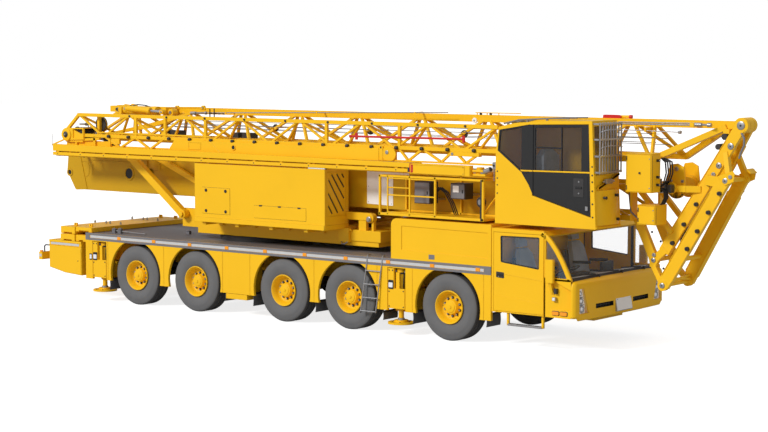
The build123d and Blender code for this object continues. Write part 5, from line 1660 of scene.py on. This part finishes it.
def tapered_stay(form):
    """Tapered stay from the lower chord to the turnbuckle."""
    form.use("yellow").hull([[(-6.9, -0.62, 3.36), (-6.9, -0.58, 3.36), (-6.9, -0.58, 3.4), (-6.9, -0.62, 3.4)],
                             [(-5.6, -0.48, 3.56), (-5.6, -0.42, 3.56), (-5.6, -0.42, 3.66), (-5.6, -0.48, 3.66)],
                             [(-4.56, -0.32, 3.86), (-4.56, -0.28, 3.86), (-4.56, -0.28, 3.91), (-4.56, -0.32, 3.91)]])
    form.use("silver").rod((-4.58, STAY_Y, 3.886), (-4.44, STAY_Y, 3.889), 0.034, 14)
    form.rod((-4.44, STAY_Y, 3.889), (-4.16, STAY_Y, 3.896), 0.022, 6)
    form.rod((-4.18, STAY_Y, 3.896), (-4.14, STAY_Y, 3.897), 0.034, 14)
    form.use("rod").rod((-4.14, STAY_Y, 3.9), (1.96, STAY_Y, 4.029), 0.011, 10)
    for x in (-3.6, -1.2, 1.2):
        z = 3.9 + (x + 4.14) * 0.02115
        form.use("yellow").box((x - 0.015, -0.315, z - 0.012), (x + 0.015, -0.06, z + 0.012))
    for x in (-4.02, -3.9):
        form.use("dark").post(x, -0.33, 3.8, 3.99, 0.013, 8)
        form.box((x - 0.02, -0.345, 3.88), (x + 0.02, -0.06, 3.905))


def beam_fittings(form):
    """White pin head and the short rail with its eyes at the front of the top beam."""
    form.use("white").lathe([(0, 0.052), (0.018, 0.052), (0.024, 0.044), (0.024, 0.001)], (2.4, -0.066, 3.884),
                            (0, -1, 0), 28)
    form.use("silver").pin(2.4, 3.884, -0.096, -0.088, 0.018, 6)
    for x in (2.44, 2.66, 2.92):
        form.use("yellow").post(x, -0.05, 3.985, 4.03, 0.01, 8)
    form.rod((2.4, -0.05, 4.028), (3.4, -0.05, 4.034), 0.01, 8)
    for x in (2.52, 2.74):
        form.use("dark").lathe([(-0.012, 0.024), (0.012, 0.024)], (x, -0.05, 4.01), (0, 1, 0), 16)


def rope_falls(form):
    """Rope falls inside the lattice, with their guide rollers and the blocks below."""
    for y, z0, z1 in ((-0.3, 3.64, 3.69), (-0.22, 3.6, 3.6), (0.18, 3.64, 3.65), (0.26, 3.56, 3.545),
                      (-0.1, 3.72, 3.74)):
        form.use("grey").rod((-5.6, y, z0), (6.3, y, z1), 0.007, 6)
    for x in (-2.3, 0.1, 2.3, 4.3):
        form.use("dark").lathe([(-0.016, 0.07), (-0.006, 0.074), (0.0, 0.06), (0.006, 0.074), (0.016, 0.07)],
                               (x, -0.26, 3.64), (0, 1, 0), 24)
        form.use("yellow").pin(x, 3.64, -0.42, 0.3, 0.014, 8)
    for x in (-3.3, -3.0, -5.3, -5.0):
        form.use("dark").box((x - 0.1, -0.38, 3.36), (x + 0.1, -0.12, 3.52))


def beam_lamp(form):
    """Warning lamp on the top beam."""
    form.use("red").prism([(5.12, 3.985), (5.47, 3.985), (5.5, 4.03), (5.4, 4.048), (5.13, 4.048)], "y", -0.045, 0.045)
    form.use("yellow").rod((5.47, 0.0, 4.018), (5.64, 0.0, 4.02), 0.026, 18)
    form.use("red").rod((5.64, 0.0, 4.02), (5.69, 0.0, 4.02), 0.032, 18)


def front_tie_rods(form):
    """Tie rods beside the front of the top beam."""
    for z, x0, x1 in ((3.935, 5.6, 7.13), (3.905, 5.55, 7.1)):
        form.use("rod").rod((x0, TIE_Y, z), (x1, TIE_Y, z + 0.01), 0.013, 10)
    form.use("silver").rod((7.08, TIE_Y, 3.925), (7.2, TIE_Y, 3.926), 0.034, 14)
    form.rod((7.2, TIE_Y, 3.926), (7.33, TIE_Y, 3.925), 0.02, 6)
    form.rod((7.31, TIE_Y, 3.925), (7.38, TIE_Y, 3.924), 0.036, 14)
    form.use("yellow").box((6.98, -0.3, 3.89), (7.06, -0.06, 3.955))
    form.use("rod").rod((5.7, TIE_Y, 3.805), (6.76, TIE_Y, 3.79), 0.009, 8)
    form.use("silver").lathe([(0, 0.001), (0, 0.026), (0.05, 0.03), (0.06, 0.001)], (6.76, TIE_Y, 3.79), (1, 0, 0), 16)
    form.use("yellow").box((6.1, -0.295, 3.78), (6.14, -0.06, 3.86))


def inner_jib_trim():
    """Luffing cylinder, tie rods with turnbuckles, ropes, lamp and pins carried on the inner jib section."""
    form = Form("yellow", "dark", "silver", "rod", "white", "red", "grey", "black")
    luffing_cylinders(form)
    short_tie_rod(form)
    tapered_stay(form)
    beam_fittings(form)
    rope_falls(form)
    beam_lamp(form)
    front_tie_rods(form)
    form.done("inner_jib_trim", "jib_inner", 0.0015, 1)


# ---------------------------------------------------------------- mast head
FLANGE = 0.012
WINCH_X, WINCH_Z = 6.7, 2.85
# each control box's x, y and z ranges
CONTROL_BOXES = (((6.15, 6.64), (-0.96, -0.665), (2.79, 3.44)), ((6.3, 6.64), (-0.82, -0.43), (2.24, 2.57)))


def along(start, end, t):
    return Vector(start) + (Vector(end) - Vector(start)) * t


def pin_head(form, centre, way, radius):
    form.use("silver").lathe([(0, radius), (0.012, radius), (0.017, radius * 0.82), (0.017, 0.001)], centre,
                             (0, way, 0), 24)
    form.use("dark").rod(Vector(centre) + Vector((0, way * 0.016, 0)), Vector(centre) + Vector((0, way * 0.021, 0)),
                         radius * 0.28, 6)


def perforated_plate(form):
    """Perforated plate between the legs."""
    form.use("grey").box((6.8, -0.255, 1.935), (6.945, -0.235, 2.215))
    for i in range(2):
        for k in range(4):
            x, z = 6.84 + 0.062 * i, 1.975 + 0.066 * k
            form.use("black").pin(x, z, -0.258, -0.252, 0.017, 12)


def knee_plates(form):
    """Outreaching plates at the upper knee with their stops."""
    lug = [(7.56, 3.08), (7.84, 3.18), (7.88, 3.13), (7.86, 3.0), (7.7, 2.93)]
    form.use("yellow").prism(lug, "y", -0.385, -0.372)
    form.prism(lug, "y", 0.372, 0.385)
    form.prism([(7.82, 3.19), (7.9, 3.12), (7.885, 3.105), (7.805, 3.175)], "y", 0.15, 0.385)
    form.use("silver").pin(7.8, 3.08, -0.4, -0.38, 0.034, 16)


def tip_fittings(form):
    """Rope guard, rollers and the grey cable over the tip, and the bolts down the legs."""
    form.use("grey").pipe([(7.89, -0.19, 3.8), (7.945, -0.2, 3.72), (7.95, -0.205, 3.6), (7.9, -0.215, 3.48),
                           (7.87, -0.22, 3.38)], 0.018, 10)
    form.use("yellow").box((7.52, -0.14, 3.78), (7.64, 0.14, 3.86))
    form.use("dark").pin(7.56, 3.73, -0.16, 0.16, 0.055, 20)
    form.pin(7.45, 3.56, -0.18, 0.18, 0.05, 20)
    for x, z in ((6.33, 2.08), (6.5, 1.93), (6.56, 1.47), (6.7, 1.4)):
        form.use("dark").pin(x, z, -0.385, -0.368, 0.02, 10)


def head_trim():
    """Rollers, sheaves, pins, perforated plate and flanges on the mast head's two side frames."""
    form = Form("yellow", "dark", "black", "silver", "grey")
    for way in (-1, 1):
        b1 = ((7.87, way * 0.125, 3.925), (6.55, way * 0.325, 1.75))
        b2 = ((7.65, way * 0.325, 2.99), (6.595, way * 0.43, 1.19))
        for member, steps in ((b1, (0.44, 0.6, 0.76, 0.91)), (b2, (0.09, 0.27, 0.45, 0.62))):
            for t in steps:
                p = along(*member, t) + Vector((0.055, way * 0.045, -0.03))
                form.use("dark").rod(p, p + Vector((0, way * 0.05, 0)), 0.036, 16)
                form.use("black").rod(p + Vector((0, way * 0.048, 0)), p + Vector((0, way * 0.056, 0)), 0.02, 10)
        # flanges along the two legs
        for member, lift in ((b1, 0.1), (b2, 0.11)):
            a, b = Vector(member[0]), Vector(member[1])
            axis = (b - a).normalized()
            across = Vector((-axis.z, 0, axis.x)).normalized() * lift
            for sign in (-1, 1):
                start, end = along(a, b, 0.14) + across * sign, along(a, b, 0.93) + across * sign
                form.use("yellow").bar(start, end, 0.115, FLANGE)
        for t, radius in ((0.16, 0.056), (0.31, 0.052), (0.38, 0.04)):
            p = along(*b1, t) + Vector((0.045, way * 0.045, 0))
            pin_head(form, p, way, radius)
        for x, z, y, radius in ((7.87, 3.925, 0.172, 0.072), (6.595, 1.19, 0.476, 0.048), (6.36, 1.6, 0.371, 0.042),
                                (6.37, 1.69, 0.371, 0.036), (7.7, 3.01, 0.371, 0.05), (6.86, 1.64, 0.41, 0.04)):
            pin_head(form, (x, way * y, z), way, radius)
    perforated_plate(form)
    knee_plates(form)
    tip_fittings(form)
    form.done("head_trim", "mast_inner", 0.002, 1)


def valve_block(form):
    """Valve block with fittings."""
    form.use("silver").box((6.53, -0.56, 2.77), (6.67, -0.44, 2.93))
    for k in range(3):
        z = 2.8 + 0.048 * k
        form.use("dark").pin(6.6, z, -0.6, -0.555, 0.02, 10)
        form.rod((6.66, -0.5, z), (6.72, -0.5, z), 0.016, 10)
    form.use("dark").box((6.7, -0.56, 2.78), (6.79, -0.45, 2.91))
    form.use("silver").post(6.56, -0.5, 2.93, 3.01, 0.02, 12)


def head_hoses(form):
    """Hoses between the boxes and the block."""
    for k in range(4):
        y = -0.64 + 0.04 * k
        form.use("black").pipe([(6.645, y, 3.36), (6.72 + 0.02 * k, y, 3.3), (6.74 + 0.02 * k, y, 3.12),
                                (6.69 + 0.015 * k, y + 0.02, 2.98), (6.64, y + 0.06, 2.9)], 0.013, 8)
        form.pipe([(6.645, y, 2.86), (6.7, y, 2.8), (6.71, y, 2.7), (6.66, y, 2.6), (6.62, y - 0.02, 2.56)], 0.011, 8)
    for z in (3.33, 3.05, 2.92):
        form.use("dark").rod((6.64, -0.78, z), (6.69, -0.78, z), 0.024, 12)
        form.use("silver").rod((6.685, -0.78, z), (6.705, -0.78, z), 0.014, 8)


def control_boxes(form):
    """Control boxes: doors with seams, screws and hinges."""
    for (x0, x1), (y0, y1), (z0, z1) in CONTROL_BOXES:
        form.use("black").prism(rect(x0 + 0.012, z0 + 0.012, x1 - 0.012, z1 - 0.012), "y", y0 - 0.0012, y0 + 0.001)
        form.use("yellow").prism(rect(x0 + 0.014, z0 + 0.014, x1 - 0.014, z1 - 0.014), "y", y0 - 0.007, y0)
        form.box((x0 - 0.008, y0 - 0.01, z1), (x1 + 0.01, y1, z1 + 0.008))
        for z in (z0 + 0.08, z1 - 0.08):
            form.use("silver").pin(x1 - 0.035, z, y0 - 0.012, y0 - 0.006, 0.011, 10)
            form.use("dark").post(x0 + 0.018, y0 - 0.012, z - 0.035, z + 0.035, 0.008, 8)
        form.use("dark").box((x1, y0 + 0.03, z0 + 0.03), (x1 + 0.003, y0 + 0.036, z1 - 0.03))
    form.use("dark").pin(6.42, 3.12, -0.968, -0.985, 0.018, 12)


def winch_lug_pins(form):
    """Pins of the lug plates over the winch and the cable that hangs behind it."""
    for x, z, radius in ((6.72, 3.169, 0.04), (6.62, 2.96, 0.028), (6.84, 2.96, 0.028)):
        for way in (-1, 1):
            pin_head(form, (x, way * 0.261, z), way, radius)
    form.use("grey").pipe([(6.1, -0.3, 3.05), (6.02, -0.42, 3.0), (5.96, -0.52, 2.7), (6.02, -0.56, 2.42),
                           (6.18, -0.56, 2.3)], 0.016, 10)


def head_equipment():
    """Hoist winch trim, valve block, hoses, control boxes and their fittings."""
    form = Form("yellow", "dark", "black", "silver", "white", "grey")
    form.use("white").lathe([(0.0, 0.114), (0.11, 0.114), (0.125, 0.1), (0.125, 0.001)], (WINCH_X, 0.371, WINCH_Z),
                            (0, 1, 0), 32)
    for y in (-0.222, -0.198, 0.198, 0.222):
        form.use("yellow").lathe([(-0.003, 0.192), (0.003, 0.192)], (WINCH_X, y, WINCH_Z), (0, 1, 0), 40)
    rows = [(-0.195, 0.15)]
    for k in range(26):
        rows += [(-0.19 + 0.0146 * k, 0.151), (-0.183 + 0.0146 * k, 0.159)]
    rows.append((0.195, 0.15))
    form.use("yellow").lathe(rows, (WINCH_X, 0, WINCH_Z), (0, 1, 0), 36)
    for t in turns(8):
        x, z = WINCH_X + 0.165 * math.cos(t), WINCH_Z + 0.165 * math.sin(t)
        form.use("dark").pin(x, z, -0.236, -0.224, 0.013, 6)
    valve_block(form)
    head_hoses(form)
    control_boxes(form)
    winch_lug_pins(form)
    form.done("head_equipment", "mast_inner", 0.002, 1)


def jib():
    trolley_winch()
    outer_jib_trim()
    jib_antenna()
    inner_jib_trim()
    head_trim()
    head_equipment()
# ---------------------------------------------------------------- stage
def camera_sees(nodes, links, *names):
    """1 where the ray is one of the named kinds."""
    rays = nodes.new("ShaderNodeLightPath")
    value = rays.outputs[names[0]]
    for name in names[1:]:
        either = nodes.new("ShaderNodeMath")
        either.operation = "MAXIMUM"
        links.new(value, either.inputs[0])
        links.new(rays.outputs[name], either.inputs[1])
        value = either.outputs["Value"]
    return value


FLOOR_HALF = 120
FLOOR_GREY = 0.55
FLOOR_GLOW = 0.8


def floor():
    mesh = bpy.data.meshes.new("floor")
    half = FLOOR_HALF
    mesh.from_pydata([(-half, -half, 0), (half, -half, 0), (half, half, 0), (-half, half, 0)], [], [(0, 1, 2, 3)])
    piece = bpy.data.objects.new("floor", mesh)
    bpy.context.scene.collection.objects.link(piece)
    material, nodes, links, shader = new_material("pale_floor")
    shader.inputs["Base Color"].default_value = (FLOOR_GREY, FLOOR_GREY, FLOOR_GREY, 1)
    shader.inputs["Roughness"].default_value = 0.9
    shader.inputs["Specular IOR Level"].default_value = 0.0
    glow = nodes.new("ShaderNodeEmission")
    glow.inputs["Strength"].default_value = FLOOR_GLOW
    both = nodes.new("ShaderNodeAddShader")
    links.new(shader.outputs["BSDF"], both.inputs[0])
    links.new(glow.outputs["Emission"], both.inputs[1])
    pick = nodes.new("ShaderNodeMixShader")
    seen = camera_sees(nodes, links, "Is Camera Ray", "Is Transmission Ray")
    links.new(seen, pick.inputs["Fac"])
    links.new(shader.outputs["BSDF"], pick.inputs[1])
    links.new(both.outputs["Shader"], pick.inputs[2])
    links.new(pick.outputs["Shader"], nodes["Material Output"].inputs["Surface"])
    mesh.materials.append(material)


def sky():
    world = bpy.data.worlds.new("sky")
    bpy.context.scene.world = world
    world.use_nodes = True
    nodes, links = world.node_tree.nodes, world.node_tree.links
    soft = nodes["Background"]
    soft.inputs["Color"].default_value = (1, 1, 1, 1)
    soft.inputs["Strength"].default_value = 0.5
    white = nodes.new("ShaderNodeBackground")
    white.inputs["Color"].default_value = (1, 1, 1, 1)
    white.inputs["Strength"].default_value = 1.0
    pick = nodes.new("ShaderNodeMixShader")
    seen = camera_sees(nodes, links, "Is Camera Ray", "Is Transmission Ray")
    links.new(seen, pick.inputs["Fac"])
    links.new(soft.outputs["Background"], pick.inputs[1])
    links.new(white.outputs["Background"], pick.inputs[2])
    links.new(pick.outputs["Shader"], nodes["World Output"].inputs["Surface"])


def key_light():
    sun = bpy.data.lights.new("key", "SUN")
    sun.energy = 2.05
    sun.angle = math.radians(12)
    lamp = bpy.data.objects.new("key", sun)
    lamp.rotation_euler = Vector((0.28, 0.8, -0.52)).to_track_quat("-Z", "Y").to_euler()
    bpy.context.scene.collection.objects.link(lamp)


def camera():
    """Right front view, slightly from above, through a long lens."""
    data = bpy.data.cameras.new("camera")
    data.sensor_width = 36.0
    data.lens = 89.0
    data.clip_end = 500
    eye = bpy.data.objects.new("camera", data)
    eye.location = (22.632, -28.557, 5.148)
    eye.rotation_euler = (math.radians(90 - 4.9534), 0, math.radians(38.1216))
    bpy.context.scene.collection.objects.link(eye)
    bpy.context.scene.camera = eye


bpy.context.scene.view_settings.view_transform = "Standard"
camera()
floor()
sky()
key_light()
dress_nodes()
refinish("cab_windscreen", "screen")
wheels()
side_strip()
ladder()
mudflaps()
tie_rods()
rear_body()
ballast_trim()
outrigger_trim()
hood_trim()
cab()
# painted shade: both mast sections take the darkened yellow for the jib's shadow, not a paint of their own
refinish("mast_outer", "mast")
refinish("mast_inner", "mast")
upper_works()
jib()
